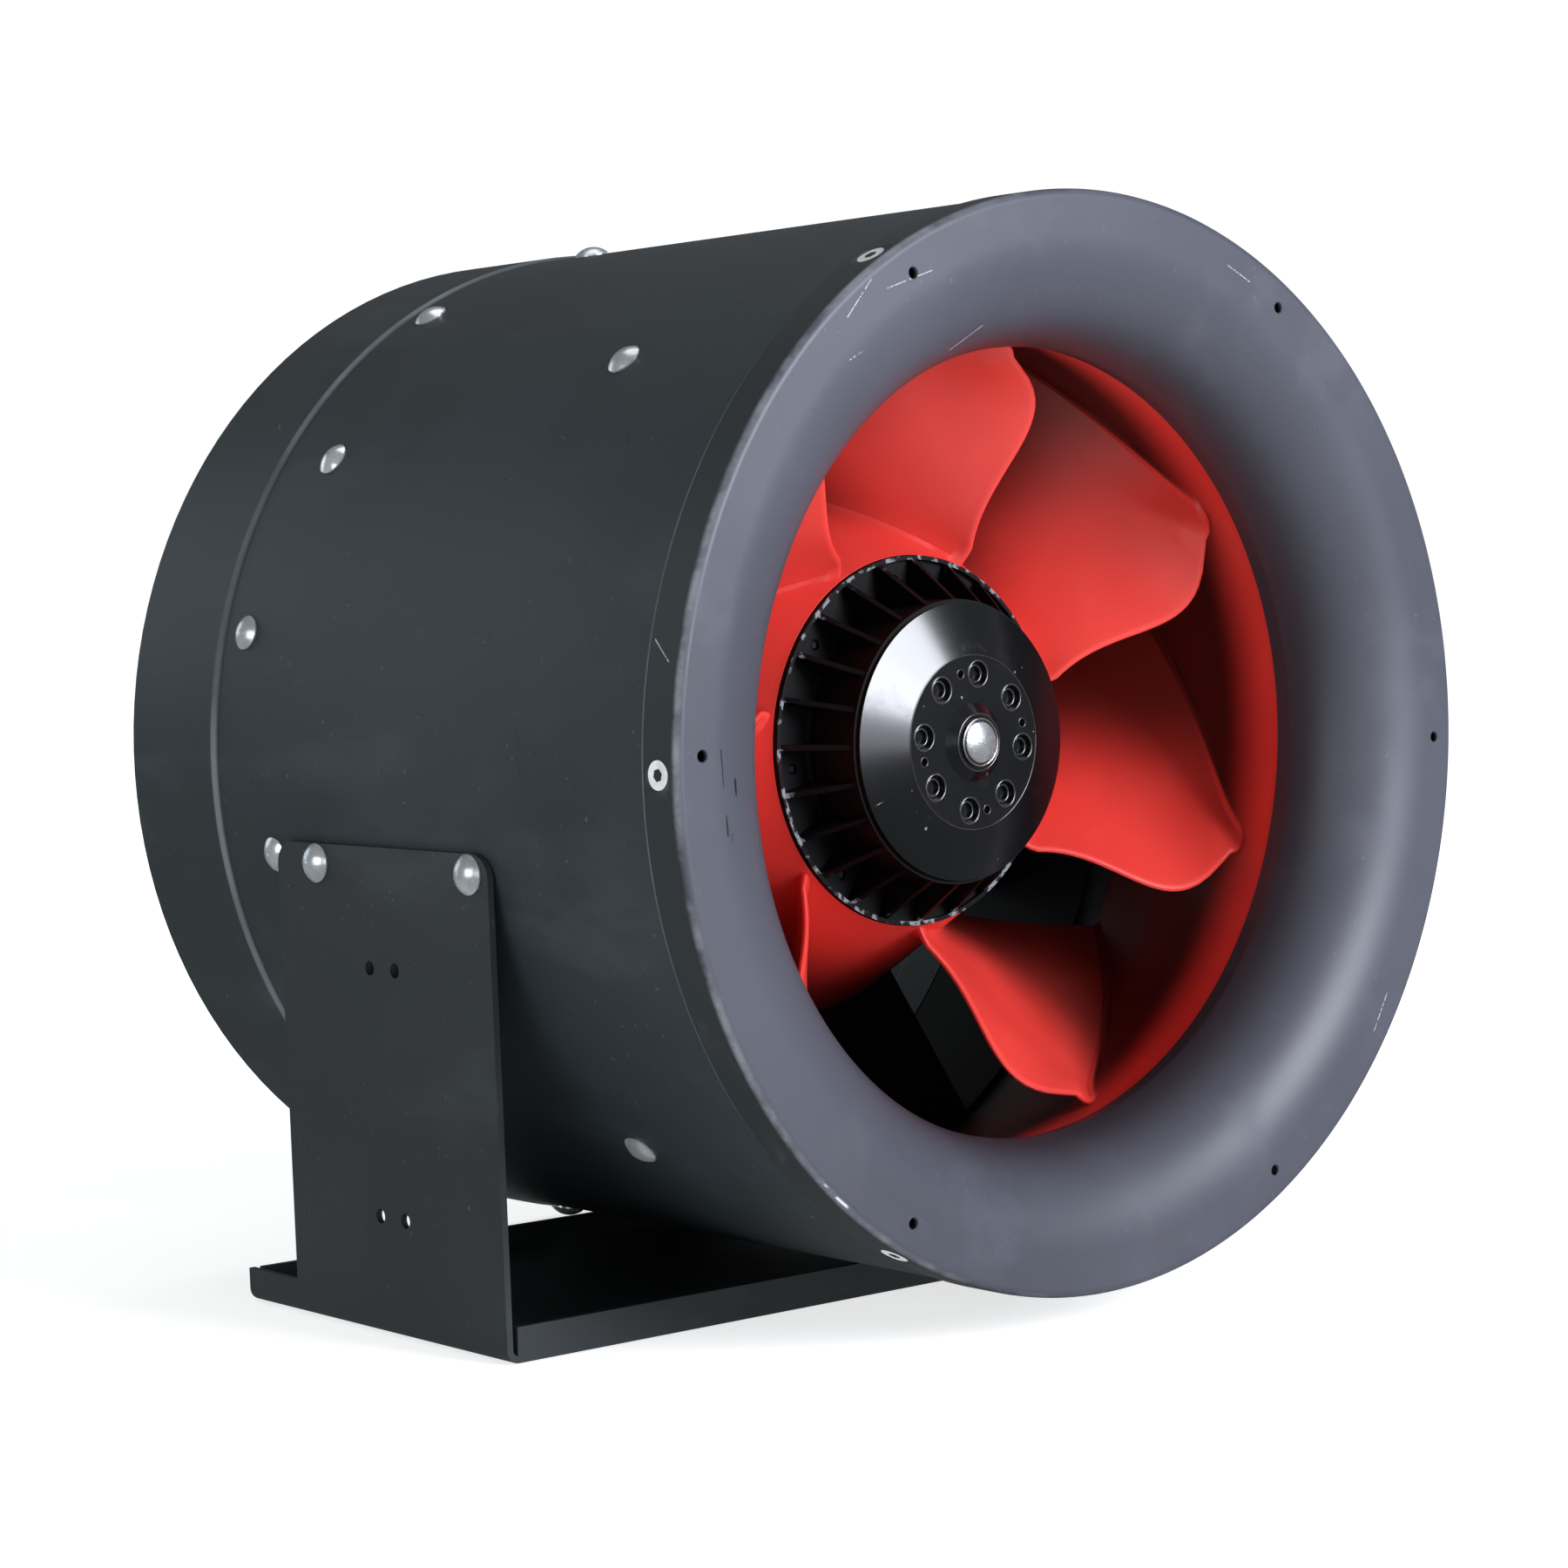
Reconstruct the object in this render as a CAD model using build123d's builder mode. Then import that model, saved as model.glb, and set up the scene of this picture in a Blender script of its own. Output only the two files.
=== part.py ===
"""Inline duct fan: a mixed-flow fan in a round sheet-steel casing, on a bent steel foot.

Millimetres, +Z up. The origin is the centre of the four foot holes, on the foot's underside.
The fan axis runs along +Y, from the inlet (-Y) to the outlet (+Y), above the origin.
Depths are measured along the axis from the inlet face. Angles are seen from the inlet,
counter-clockwise from +X.
"""
import math
import os

from build123d import *

os.makedirs("parts", exist_ok=True)

# ---------------------------------------------------------------- driving dimensions
AXIS_Z = 212.0            # fan axis above the foot's underside
FRONT_Y = -189.75         # inlet face
BELL_R = 200.0            # outside of the inlet bellmouth
BELL_BAND = 17.5          # depth of the bellmouth's side band
BAND_WALL = 3.0
SHEET = 2.0
THROAT_R = 146.0
LIP_R = 38.0              # radius of the bellmouth's curve
THROAT_END = 45.8
THROAT_END_R = 147.6
CASING_R = 199.0
CASING_END = 279.0
COLLAR_R = 200.2
COLLAR_END = 340.5
RING_R = 196.7            # rings that sit inside the casing, 0.3 clear
GUARD_PCD = 378.0
GUARD_ANGLE = -1.3        # first of the six guard holes
BELL_SCREW_ANGLE = 0.5    # first of the six inlet screws
BELL_SCREW_DEPTH = 10.0
BAFFLE_ROW = 97.0
VANE_ROW = 246.0
COLLAR_ROW = 265.0
VANE_ROW_ANGLE = 10.9
COLLAR_ROW_ANGLE = 31.6

ROTOR_R = 52.5
HUB_FRONT = 101.0
HUB_FRONT_R = 71.3
HUB_SLOPE = 0.55
HUB_END = 175.0
BLADES = 7
BLADE_ANGLE = 72.0        # leading edge of the first blade
BLADE_T = 2.6
SHROUD_FRONT_R = 151.5
SHROUD_END = 165.0
SHROUD_END_R = 186.0
FINS = 24
SHAFT_R = 6.0
VANES = 8
VANE_HUB_R = 108.0

FOOT_T = 2.5
FOOT_FRONT = 106.5        # depth of the foot's front edge
ARM_REAR = 239.3
FOOT_REAR = 273.0
FOOT_HALF = 194.8         # half width over the arms, at the base
ARM_TOP = 180.0
ARM_TOP_HALF = 199.1
FOOT_LIP = 12.8
ARM_SCREWS = (117.5, 213.0)
ARM_SCREW_Z = 172.7
ARM_HOLES_DEPTH = (165.7, 181.5)
ARM_HOLES_Z = (44.0, 135.5)
FOOT_HOLES_X = 320.0
FOOT_HOLES_Y = 120.0

BOX_FRONT = 125.0         # terminal box, on the +X side
BOX_REAR = 232.0
BOX_LOW = 186.0
BOX_HIGH = 296.0
BOX_FLOOR = 203.0
BOX_RIM = 248.0
BOX_WALL = 3.0

AXIS = Axis((0, FRONT_Y, AXIS_Z), (0, 1, 0))
SIDE = Plane(origin=(0, FRONT_Y, AXIS_Z), x_dir=(0, 1, 0), z_dir=(1, 0, 0))  # x depth, y radius


def at_depth(depth):
    """Plane across the fan axis: x right, y up, normal towards the inlet."""
    return Plane(origin=(0, FRONT_Y + depth, AXIS_Z), x_dir=(1, 0, 0), z_dir=(0, -1, 0))


def outward(depth, angle, radius):
    """Plane facing out from the fan axis: x along the axis, y around it."""
    turn = math.radians(angle)
    middle = (radius * math.cos(turn), FRONT_Y + depth, AXIS_Z + radius * math.sin(turn))
    return Plane(origin=middle, x_dir=(0, 1, 0), z_dir=(math.cos(turn), 0, math.sin(turn)))


def places(depth, first, count, radius):
    """Points spaced evenly around the axis, each facing out."""
    return [outward(depth, first + k * 360 / count, radius).location for k in range(count)]


def rings(depth, first, count, radius, facing=-1):
    """Points on a circle across the axis, each facing the inlet (-1) or the outlet (+1)."""
    found = []
    for k in range(count):
        turn = math.radians(first + k * 360 / count)
        middle = (radius * math.cos(turn), FRONT_Y + depth, AXIS_Z + radius * math.sin(turn))
        found.append(Plane(origin=middle, x_dir=(1, 0, 0), z_dir=(0, facing, 0)).location)
    return found


def spun(outline):
    """Solid of revolution about the fan axis from (depth, radius) points."""
    with BuildPart() as body:
        with BuildSketch(SIDE):
            with BuildLine():
                Polyline(*outline, close=True)
            make_face()
        revolve(axis=AXIS)
    return body.part


def turned(outline):
    """Solid of revolution about +Z at the origin, from (radius, height) points."""
    with BuildPart() as body:
        with BuildSketch(Plane.XZ):
            with BuildLine():
                Polyline(*outline, close=True)
            make_face()
        revolve(axis=Axis.Z)
    return body.part


def copies(shape, where):
    """The same shape at several places, as separate solids of one part."""
    with BuildPart() as group:
        with Locations(*where):
            add(shape)
    return group.part


def save(shape, label):
    shape.label = label
    export_step(shape, f"parts/{label}.step")


# ---------------------------------------------------------------- fasteners
def cap_radius(half_width, rise):
    """Radius of a round cap from its half width and its rise."""
    return (half_width ** 2 + rise ** 2) / (2 * rise)


def dome_rivet(head_r, head_h, shank_r, grip):
    """Blind rivet, its head on the origin's plane and its tail below."""
    with BuildPart() as rivet:
        with BuildSketch(Plane.XZ):
            with BuildLine():
                Line((0, head_h), (0, -grip - 4.2))
                Line((0, -grip - 4.2), (shank_r + 0.4, -grip - 4.2))
                Line((shank_r + 0.4, -grip - 4.2), (shank_r + 1.4, -grip - 2.4))
                Line((shank_r + 1.4, -grip - 2.4), (shank_r + 1.0, -grip - 0.2))
                Line((shank_r + 1.0, -grip - 0.2), (shank_r, -grip - 0.2))
                Line((shank_r, -grip - 0.2), (shank_r, 0.05))
                Line((shank_r, 0.05), (head_r, 0.05))
                Line((head_r, 0.05), (head_r, 0.7))
                RadiusArc((head_r, 0.7), (0, head_h), -cap_radius(head_r, head_h - 0.7))
            make_face()
        revolve(axis=Axis.Z)
    return rivet.part


def pan_screw(head_r, head_h, shank_r, length, slot=True):
    """Pan-head screw, head above the origin's plane, with a cross recess."""
    shape = turned([(0, head_h), (head_r * 0.55, head_h), (head_r * 0.9, head_h * 0.72),
                    (head_r, head_h * 0.3), (head_r, 0), (shank_r, 0), (shank_r, -length + 1),
                    (shank_r * 0.6, -length), (0, -length)])
    if not slot:
        return shape
    with BuildPart() as screw:
        add(shape)
        with BuildSketch(Plane.XY.offset(head_h)):
            Rectangle(head_r * 1.1, head_r * 0.22)
            Rectangle(head_r * 0.22, head_r * 1.1)
        extrude(amount=-head_h * 0.45, mode=Mode.SUBTRACT)
    return screw.part


def flush_screw(head_r, shank_r, length):
    """Countersunk screw, its flat head level with the origin's plane, with a hex socket."""
    cone = head_r - shank_r
    with BuildPart() as screw:
        add(turned([(0, 0), (head_r, 0), (head_r, -0.3), (shank_r, -0.3 - cone),
                    (shank_r, -length), (0, -length)]))
        with BuildSketch(Plane.XY):
            RegularPolygon(head_r * 0.42, 6)
        extrude(amount=-1.6, mode=Mode.SUBTRACT)
    return screw.part


def hex_nut(across, height, bore_r):
    """Flanged hex nut, standing on the origin's plane."""
    with BuildPart() as nut:
        with BuildSketch(Plane.XY):
            Circle(across * 0.68)
        extrude(amount=1.0)
        with BuildSketch(Plane.XY.offset(1.0)):
            RegularPolygon(across / 2, 6, major_radius=False)
        extrude(amount=height - 1.0)
        with BuildSketch(Plane.XY):
            Circle(bore_r)
        extrude(amount=height, mode=Mode.SUBTRACT)
    return nut.part


# ---------------------------------------------------------------- inlet bellmouth
with BuildPart() as inlet_bellmouth:
    with BuildSketch(SIDE):
        with BuildLine():
            lip = THROAT_R + LIP_R
            inner = LIP_R - SHEET
            Line((BELL_BAND, BELL_R), (3, BELL_R))
            RadiusArc((3, BELL_R), (0, BELL_R - 3), -3)
            Line((0, BELL_R - 3), (0, lip))
            RadiusArc((0, lip), (LIP_R, THROAT_R), -LIP_R)
            Line((LIP_R, THROAT_R), (THROAT_END, THROAT_END_R))
            Line((THROAT_END, THROAT_END_R), (THROAT_END, THROAT_END_R + SHEET))
            Line((THROAT_END, THROAT_END_R + SHEET), (LIP_R, THROAT_R + SHEET))
            RadiusArc((LIP_R, THROAT_R + SHEET), (SHEET, lip), inner)
            Line((SHEET, lip), (SHEET, BELL_R - BAND_WALL - 1))
            Line((SHEET, BELL_R - BAND_WALL - 1), (SHEET + 1, BELL_R - BAND_WALL))
            Line((SHEET + 1, BELL_R - BAND_WALL), (BELL_BAND, BELL_R - BAND_WALL))
            Line((BELL_BAND, BELL_R - BAND_WALL), (BELL_BAND, BELL_R))
        make_face()
    revolve(axis=AXIS)
    with BuildSketch(at_depth(-1)):
        with PolarLocations(GUARD_PCD / 2, 6, start_angle=GUARD_ANGLE):
            Circle(2.0)
    extrude(amount=-SHEET - 2, mode=Mode.SUBTRACT)
    with Locations(*places(BELL_SCREW_DEPTH, BELL_SCREW_ANGLE, 6, BELL_R)):
        CounterSinkHole(2.7, 5.5, depth=6, counter_sink_angle=90)
save(inlet_bellmouth.part, "inlet_bellmouth")

bell_screw_places = places(BELL_SCREW_DEPTH, BELL_SCREW_ANGLE, 6, BELL_R - 0.1)
save(copies(flush_screw(5.0, 2.5, 11.0), bell_screw_places), "bellmouth_screws")

rivet_nut = turned([(2.6, 0), (2.6, -8), (4.2, -8), (4.2, -2.4), (3.5, -2.4), (3.5, 0)])
save(copies(rivet_nut, places(BELL_SCREW_DEPTH, BELL_SCREW_ANGLE, 6, RING_R)), "bellmouth_nuts")

# ---------------------------------------------------------------- casing
lead_depth = 205.0
box_screw_spots = ((140.0, 15.0), (180.0, 15.0))

with BuildPart() as casing_tube:
    add(spun([(4, RING_R), (BELL_BAND + 0.3, RING_R), (BELL_BAND + 0.3, CASING_R),
              (CASING_END, CASING_R), (CASING_END, CASING_R - SHEET), (22, CASING_R - SHEET),
              (19.5, RING_R - SHEET), (4, RING_R - SHEET)]))
    with Locations(*places(BELL_SCREW_DEPTH, BELL_SCREW_ANGLE, 6, CASING_R)):
        Hole(3.7, depth=8)
    fixings = places(BAFFLE_ROW, 45, 4, CASING_R + 1)
    fixings += places(VANE_ROW, VANE_ROW_ANGLE, 8, CASING_R + 1)
    fixings += places(COLLAR_ROW, COLLAR_ROW_ANGLE, 8, CASING_R + 1)
    with Locations(*fixings):
        Hole(2.5, depth=6)
    for side in (1, -1):
        with BuildSketch(Plane.YZ.offset(side * (CASING_R - 12))):
            with Locations(*[(FRONT_Y + depth, ARM_SCREW_Z) for depth in ARM_SCREWS]):
                Circle(3.3)
        extrude(amount=side * 14, mode=Mode.SUBTRACT)
    with BuildSketch(Plane.YZ.offset(CASING_R - 12)):
        with Locations((FRONT_Y + lead_depth, AXIS_Z)):
            Circle(6.2)
        with Locations(*[(FRONT_Y + depth, AXIS_Z + up) for depth, up in box_screw_spots]):
            Circle(2.2)
    extrude(amount=14, mode=Mode.SUBTRACT)
save(casing_tube.part, "casing_tube")

# Ring behind the bellmouth that stops air from leaking back around the shroud.
with BuildPart() as recirculation_baffle:
    add(spun([(88, RING_R), (106, RING_R), (106, RING_R - SHEET), (90, RING_R - SHEET),
              (90, 169), (88, 169)]))
    with Locations(*places(BAFFLE_ROW, 45, 4, CASING_R)):
        Hole(2.5, depth=6)
save(recirculation_baffle.part, "recirculation_baffle")

rivet = dome_rivet(6.6, 3.4, 2.4, 4.4)
save(copies(rivet, places(BAFFLE_ROW, 45, 4, CASING_R)), "baffle_rivets")
save(copies(rivet, places(VANE_ROW, VANE_ROW_ANGLE, 8, CASING_R)), "guide_vane_rivets")
save(copies(rivet, places(COLLAR_ROW, COLLAR_ROW_ANGLE, 8, CASING_R)), "collar_rivets")

with BuildPart() as outlet_collar:
    neck = RING_R + 0.1
    add(spun([(257, neck), (CASING_END + 0.3, neck), (CASING_END + 0.3, CASING_R - 0.1),
              (CASING_END + 3.3, COLLAR_R), (COLLAR_END - 0.6, COLLAR_R),
              (COLLAR_END, COLLAR_R - 0.6), (COLLAR_END, COLLAR_R - SHEET), (284, COLLAR_R - SHEET),
              (280.6, neck - SHEET), (257, neck - SHEET)]))
    with Locations(*places(COLLAR_ROW, COLLAR_ROW_ANGLE, 8, CASING_R)):
        Hole(2.5, depth=6)
save(outlet_collar.part, "outlet_collar")

# ---------------------------------------------------------------- guide vanes
vane_front = 190.0
vane_rear = 254.0
with BuildPart() as vane:
    for radius in (102.0, 150.0, 196.0):
        with BuildSketch(outward(0, 0, radius)):
            with BuildLine():
                half = 1.25
                sweep_back = 0.20 * radius
                Spline((vane_front, half + sweep_back), (218, half + sweep_back * 0.22),
                       (vane_rear, half), tangents=((1, -0.9), (1, 0)))
                Line((vane_rear, half), (vane_rear, -half))
                Spline((vane_front, -half + sweep_back), (218, -half + sweep_back * 0.22),
                       (vane_rear, -half), tangents=((1, -0.9), (1, 0)))
                Line((vane_front, -half + sweep_back), (vane_front, half + sweep_back))
            make_face()
    loft()
vane_room = spun([(188, VANE_HUB_R - 1.5), (256, VANE_HUB_R - 1.5), (256, RING_R - 1),
                  (188, RING_R - 1)])

with BuildPart() as guide_vanes:
    add(spun([(186, RING_R), (256, RING_R), (256, RING_R - SHEET), (186, RING_R - SHEET)]))
    for k in range(VANES):
        add((vane.part & vane_room).rotate(AXIS, -k * 360 / VANES - 22.5))
    add(spun([(188, VANE_HUB_R), (256, VANE_HUB_R), (256, VANE_HUB_R - 3), (193, VANE_HUB_R - 3),
              (193, 90), (190, 90), (190, VANE_HUB_R - 3), (188, VANE_HUB_R - 3)]))
    with Locations(*places(VANE_ROW, VANE_ROW_ANGLE, 8, CASING_R)):
        Hole(2.5, depth=6)
    with Locations(*places(250, 0, 4, VANE_HUB_R + 1)):
        Hole(2.1, depth=6)
    with Locations(*rings(193, 22.5, 8, 98)):
        Hole(2.1, depth=5)
    with Locations(*places(lead_depth, 0, 1, RING_R + 1)):
        Hole(6.2, depth=100)
    for side in (1, -1):
        with BuildSketch(Plane.YZ.offset(side * (CASING_R - 12))):
            with Locations((FRONT_Y + ARM_SCREWS[1], ARM_SCREW_Z)):
                Circle(3.3)
        extrude(amount=side * 14, mode=Mode.SUBTRACT)
save(guide_vanes.part, "guide_vanes")

tail_outline = [(244, 104.7), (257, 104.7), (257, 108), (262, 108), (282, 100), (304, 74), (318, 46),
                (318, 0), (316.4, 0), (316.4, 45), (302.8, 72.8), (281.2, 98.4), (262, 106),
                (258.6, 106), (258.6, 103), (244, 103)]
with BuildPart() as tail_cone:
    add(spun(tail_outline))
    with Locations(*places(250, 0, 4, VANE_HUB_R + 1)):
        Hole(2.1, depth=8)
save(tail_cone.part, "tail_cone")
tail_screw = pan_screw(3.8, 2.4, 2.0, 9.0)
save(copies(tail_screw, places(250, 0, 4, VANE_HUB_R + 0.1)), "tail_cone_screws")

# ---------------------------------------------------------------- motor, fixed side
with BuildPart() as motor_mount:
    add(spun([(148, 20), (148, 53), (187, 53), (187, 104), (190, 104), (190, 50), (151, 50),
              (151, 20)]))
    with Locations(*rings(151, 45, 4, 38)):
        Hole(2.6, depth=5)
    with Locations(*rings(191, 22.5, 8, 98)):
        Hole(2.1, depth=6)
    with Locations(*rings(151, 0, 1, 30)):
        Hole(4.4, depth=5)
save(motor_mount.part, "motor_mount")
mount_screw = pan_screw(3.8, 2.4, 2.0, 8.0)
save(copies(mount_screw, rings(193, 22.5, 8, 98, 1)), "motor_mount_screws")

with BuildPart() as motor_flange:
    add(spun([(79, 16), (79, 19), (134, 19), (142, 24), (142, 51), (148, 51), (148, 16), (134, 16),
              (134, 14), (90, 14), (90, 16)]))
    with BuildSketch(SIDE):
        with Locations((145.8, 16.5)):
            Rectangle(1.2, 1.4)
    revolve(axis=AXIS, mode=Mode.SUBTRACT)
    with Locations(*rings(148, 45, 4, 38)):
        Hole(2.5, depth=8)
    with Locations(*rings(148, 0, 1, 30)):
        Hole(4.4, depth=8)
save(motor_flange.part, "motor_flange")
flange_screw = pan_screw(4.6, 3.0, 2.4, 8.0)
save(copies(flange_screw, rings(151, 45, 4, 38, 1)), "motor_flange_screws")

SLOTS = 12
with BuildPart() as stator_core:
    with BuildSketch(at_depth(88)):
        Circle(44)
        Circle(19, mode=Mode.SUBTRACT)
        with PolarLocations(33.5, SLOTS):
            RectangleRounded(15, 8, 2, mode=Mode.SUBTRACT)
        with PolarLocations(42.5, SLOTS):
            Rectangle(6, 2.4, mode=Mode.SUBTRACT)
    extrude(amount=-42)
save(stator_core.part, "stator_core")

with BuildPart() as stator_winding:
    with BuildSketch(at_depth(82)):
        with PolarLocations(33.5, SLOTS):
            RectangleRounded(14.4, 7.4, 1.8)
    extrude(amount=-54)
    for start in (80.5, 131):
        with BuildSketch(SIDE):
            with Locations((start + 3.3, 33.5)):
                RectangleRounded(6.6, 14, 2.5)
        revolve(axis=AXIS)
save(stator_winding.part, "stator_winding")

# ---------------------------------------------------------------- bearings
BALLS = 8
BALL_R = 2.8
BALL_PITCH = 11.0


def bearing(front, name):
    """Deep-groove ball bearing 10 wide: two rings, a cage and its balls."""
    middle = front + 5
    groove = Plane(origin=(0, FRONT_Y + middle, AXIS_Z + BALL_PITCH), z_dir=(1, 0, 0))
    with BuildPart() as outer:
        add(spun([(front, 13.4), (front, 16), (front + 10, 16), (front + 10, 13.4)]))
        with BuildSketch(groove):
            Circle(BALL_R + 0.08)
        revolve(axis=AXIS, mode=Mode.SUBTRACT)
    save(outer.part, f"{name}_bearing_outer")
    with BuildPart() as inner_ring:
        add(spun([(front, SHAFT_R), (front, 8.6), (front + 10, 8.6), (front + 10, SHAFT_R)]))
        with BuildSketch(groove):
            Circle(BALL_R + 0.08)
        revolve(axis=AXIS, mode=Mode.SUBTRACT)
    save(inner_ring.part, f"{name}_bearing_inner")
    spots = rings(middle, 0, BALLS, BALL_PITCH)
    with BuildPart() as balls:
        with Locations(*spots):
            Sphere(BALL_R)
    save(balls.part, f"{name}_bearing_balls")
    with BuildPart() as cage:
        add(spun([(middle - 4.2, 9.8), (middle - 4.2, 12.2), (middle + 1, 12.2), (middle + 1, 9.8)]))
        with Locations(*spots):
            Sphere(BALL_R + 0.06, mode=Mode.SUBTRACT)
    save(cage.part, f"{name}_bearing_cage")


bearing(80.0, "front")
bearing(135.2, "rear")
save(spun([(134, 13.6), (134, 15.8), (135.2, 15.8), (135.2, 13.6)]), "preload_washer")
save(spun([(145.25, 14), (145.25, 17), (146.25, 17), (146.25, 14)]), "bearing_circlip")

# ---------------------------------------------------------------- motor, turning side
with BuildPart() as rotor_bell:
    add(spun([(140, 49), (79, 49), (75.6, 44), (71.8, 30), (71.8, 12), (74, 8.5), (80, 8.5),
              (80, SHAFT_R), (70.7, SHAFT_R), (70.7, 9.1), (64.8, 9.1), (64.8, 10.9), (67.6, 14.8),
              (67.6, 32.9), (73.6, ROTOR_R), (140, ROTOR_R)]))
    with Locations(*rings(67.6, 39, 8, 25.8)):
        CounterBoreHole(3.0, 4.8, 2.0, depth=3.2)
    with Locations(*rings(67.6, 14, 4, 26.5)):
        Hole(1.6, depth=2)
save(rotor_bell.part, "rotor_bell")

with BuildPart() as rotor_cage:
    add(spun([(86, 44.5), (86, 49), (132, 49), (132, 44.5)]))
save(rotor_cage.part, "rotor_cage")

with BuildPart() as shaft:
    add(spun([(70.7, 0), (70.7, SHAFT_R), (145.4, SHAFT_R), (145.4, 5.3), (146.6, 5.3),
              (146.6, SHAFT_R), (149, SHAFT_R), (150, 5), (150, 0)]))
save(shaft.part, "shaft")
save(spun([(145.4, 5.3), (145.4, 7.8), (146.5, 7.8), (146.5, 5.3)]), "shaft_circlip")

with BuildPart() as shaft_cap:
    with BuildSketch(SIDE):
        with BuildLine():
            Line((70.7, 0), (70.7, 9.1))
            Line((70.7, 9.1), (64.2, 9.1))
            Line((64.2, 9.1), (63.8, 8.3))
            RadiusArc((63.8, 8.3), (61.8, 0), -cap_radius(8.3, 2.0))
            Line((61.8, 0), (70.7, 0))
        make_face()
    revolve(axis=AXIS)
save(shaft_cap.part, "shaft_cap")

# Pressed on the rotor: its fins pump air over the motor, and the impeller bolts to its floor.
with BuildPart() as fin:
    with BuildSketch(SIDE):
        with BuildLine():
            Polyline((75.8, 53.2), (102, 53.2), (102, 69.8), (99.4, 69.8), close=True)
        make_face()
    extrude(amount=1.0, both=True)
with BuildPart() as cooling_ring:
    add(spun([(75.5, ROTOR_R), (75.5, ROTOR_R + 1.4), (100, ROTOR_R + 1.4), (101.2, ROTOR_R + 2.4),
              (101.2, 69.3), (98.8, 69.3), (98.8, 70.9), (104, 70.9), (104, ROTOR_R)]))
    for k in range(FINS):
        add(fin.part.rotate(AXIS, k * 360 / FINS))
    with Locations(*rings(104, 7.5, 8, 62, 1)):
        Hole(2.1, depth=5)
save(cooling_ring.part, "cooling_ring")

# ---------------------------------------------------------------- impeller
LEADING_SLOPE = 0.59      # how far forward the leading edge comes per mm of radius
MIDDLE = 20.0             # the blade's sections stand across this direction, past its leading edge


def leading_depth(radius):
    return 103.5 - LEADING_SLOPE * (radius - 73)


def shroud_points(clear):
    """Inside of the shroud from its inlet to its outlet, moved out by clear."""
    return [(42, SHROUD_FRONT_R + clear), (57, 152.4 + clear), (92, 159.5 + clear),
            (130, 171.5 + clear), (SHROUD_END, SHROUD_END_R + clear)]


def hub_r(depth):
    return HUB_FRONT_R + HUB_SLOPE * (depth - HUB_FRONT)


def edge_bend(radius):
    """Degrees by which the leading edge bends round the axis: back at the hub, forward at the tip."""
    t = min(max((radius - 76) / 69, 0), 1.1)
    s = 1 - t
    return -4.1 * s ** 3 + 14.1 * s * s * t - 14.7 * s * t * t + 4.8 * t ** 3


with BuildPart() as blade:
    for across in (58.0, 90.0, 118.0, 136.0, 152.0, 190.0):
        edge_r = across / math.cos(math.radians(MIDDLE))
        start = leading_depth(edge_r)
        bend = edge_r * math.radians(edge_bend(edge_r))
        behind = -across * math.tan(math.radians(MIDDLE))
        slope = 0.72 + 0.0104 * (across - 70)
        curl = 0.0034 - 0.000033 * (across - 90)
        steps = [-12 + k * (192 - start) / 8 for k in range(9)]
        fade = [math.exp(-(max(u, 0) / 26) ** 2) for u in steps]
        middle_line = [(start + u, behind + slope * u - curl * u * u + bend * f)
                       for u, f in zip(steps, fade)]
        lean = [math.atan(slope - 2 * curl * u - bend * f * max(u, 0) / 338)
                for u, f in zip(steps, fade)]
        half = BLADE_T / 2
        upper = [(x - half * math.sin(a), y + half * math.cos(a)) for (x, y), a in zip(middle_line, lean)]
        lower = [(x + half * math.sin(a), y - half * math.cos(a)) for (x, y), a in zip(middle_line, lean)]
        with BuildSketch(outward(0, MIDDLE, across)):
            with BuildLine():
                Spline(*upper)
                Line(upper[-1], lower[-1])
                Spline(*lower)
                Line(lower[0], upper[0])
            make_face()
    loft()
blade_room = spun([(leading_depth(70), 71.0), (172, hub_r(172) - 1.6), (161, 186.5), (130, 173.0),
                   (92, 161.0), (leading_depth(154), 153.8)])

with BuildPart() as impeller:
    for k in range(BLADES):
        add((blade.part & blade_room).rotate(AXIS, -(BLADE_ANGLE + k * 360 / BLADES)))
    with BuildSketch(SIDE):
        with BuildLine():
            Spline(*shroud_points(0))
            Line(shroud_points(0)[-1], shroud_points(2.5)[-1])
            Spline(*shroud_points(2.5))
            Line(shroud_points(2.5)[0], shroud_points(0)[0])
        make_face()
    revolve(axis=AXIS)
    add(spun([(HUB_FRONT, HUB_FRONT_R), (HUB_END, hub_r(HUB_END)), (HUB_END, hub_r(HUB_END) - 3.2),
              (107.2, hub_r(107.2) - 3.6), (107.2, 55.5), (104.2, 55.5), (104.2, 71.1),
              (HUB_FRONT, 71.1)]))
    with Locations(*rings(107.2, 7.5, 8, 62, 1)):
        Hole(2.1, depth=6)
save(impeller.part, "impeller")
impeller_screw = pan_screw(3.8, 2.4, 2.0, 5.6)
save(copies(impeller_screw, rings(107.3, 7.5, 8, 62, 1)), "impeller_screws")

# ---------------------------------------------------------------- foot
lean = (ARM_TOP_HALF - FOOT_HALF) / ARM_TOP


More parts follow.
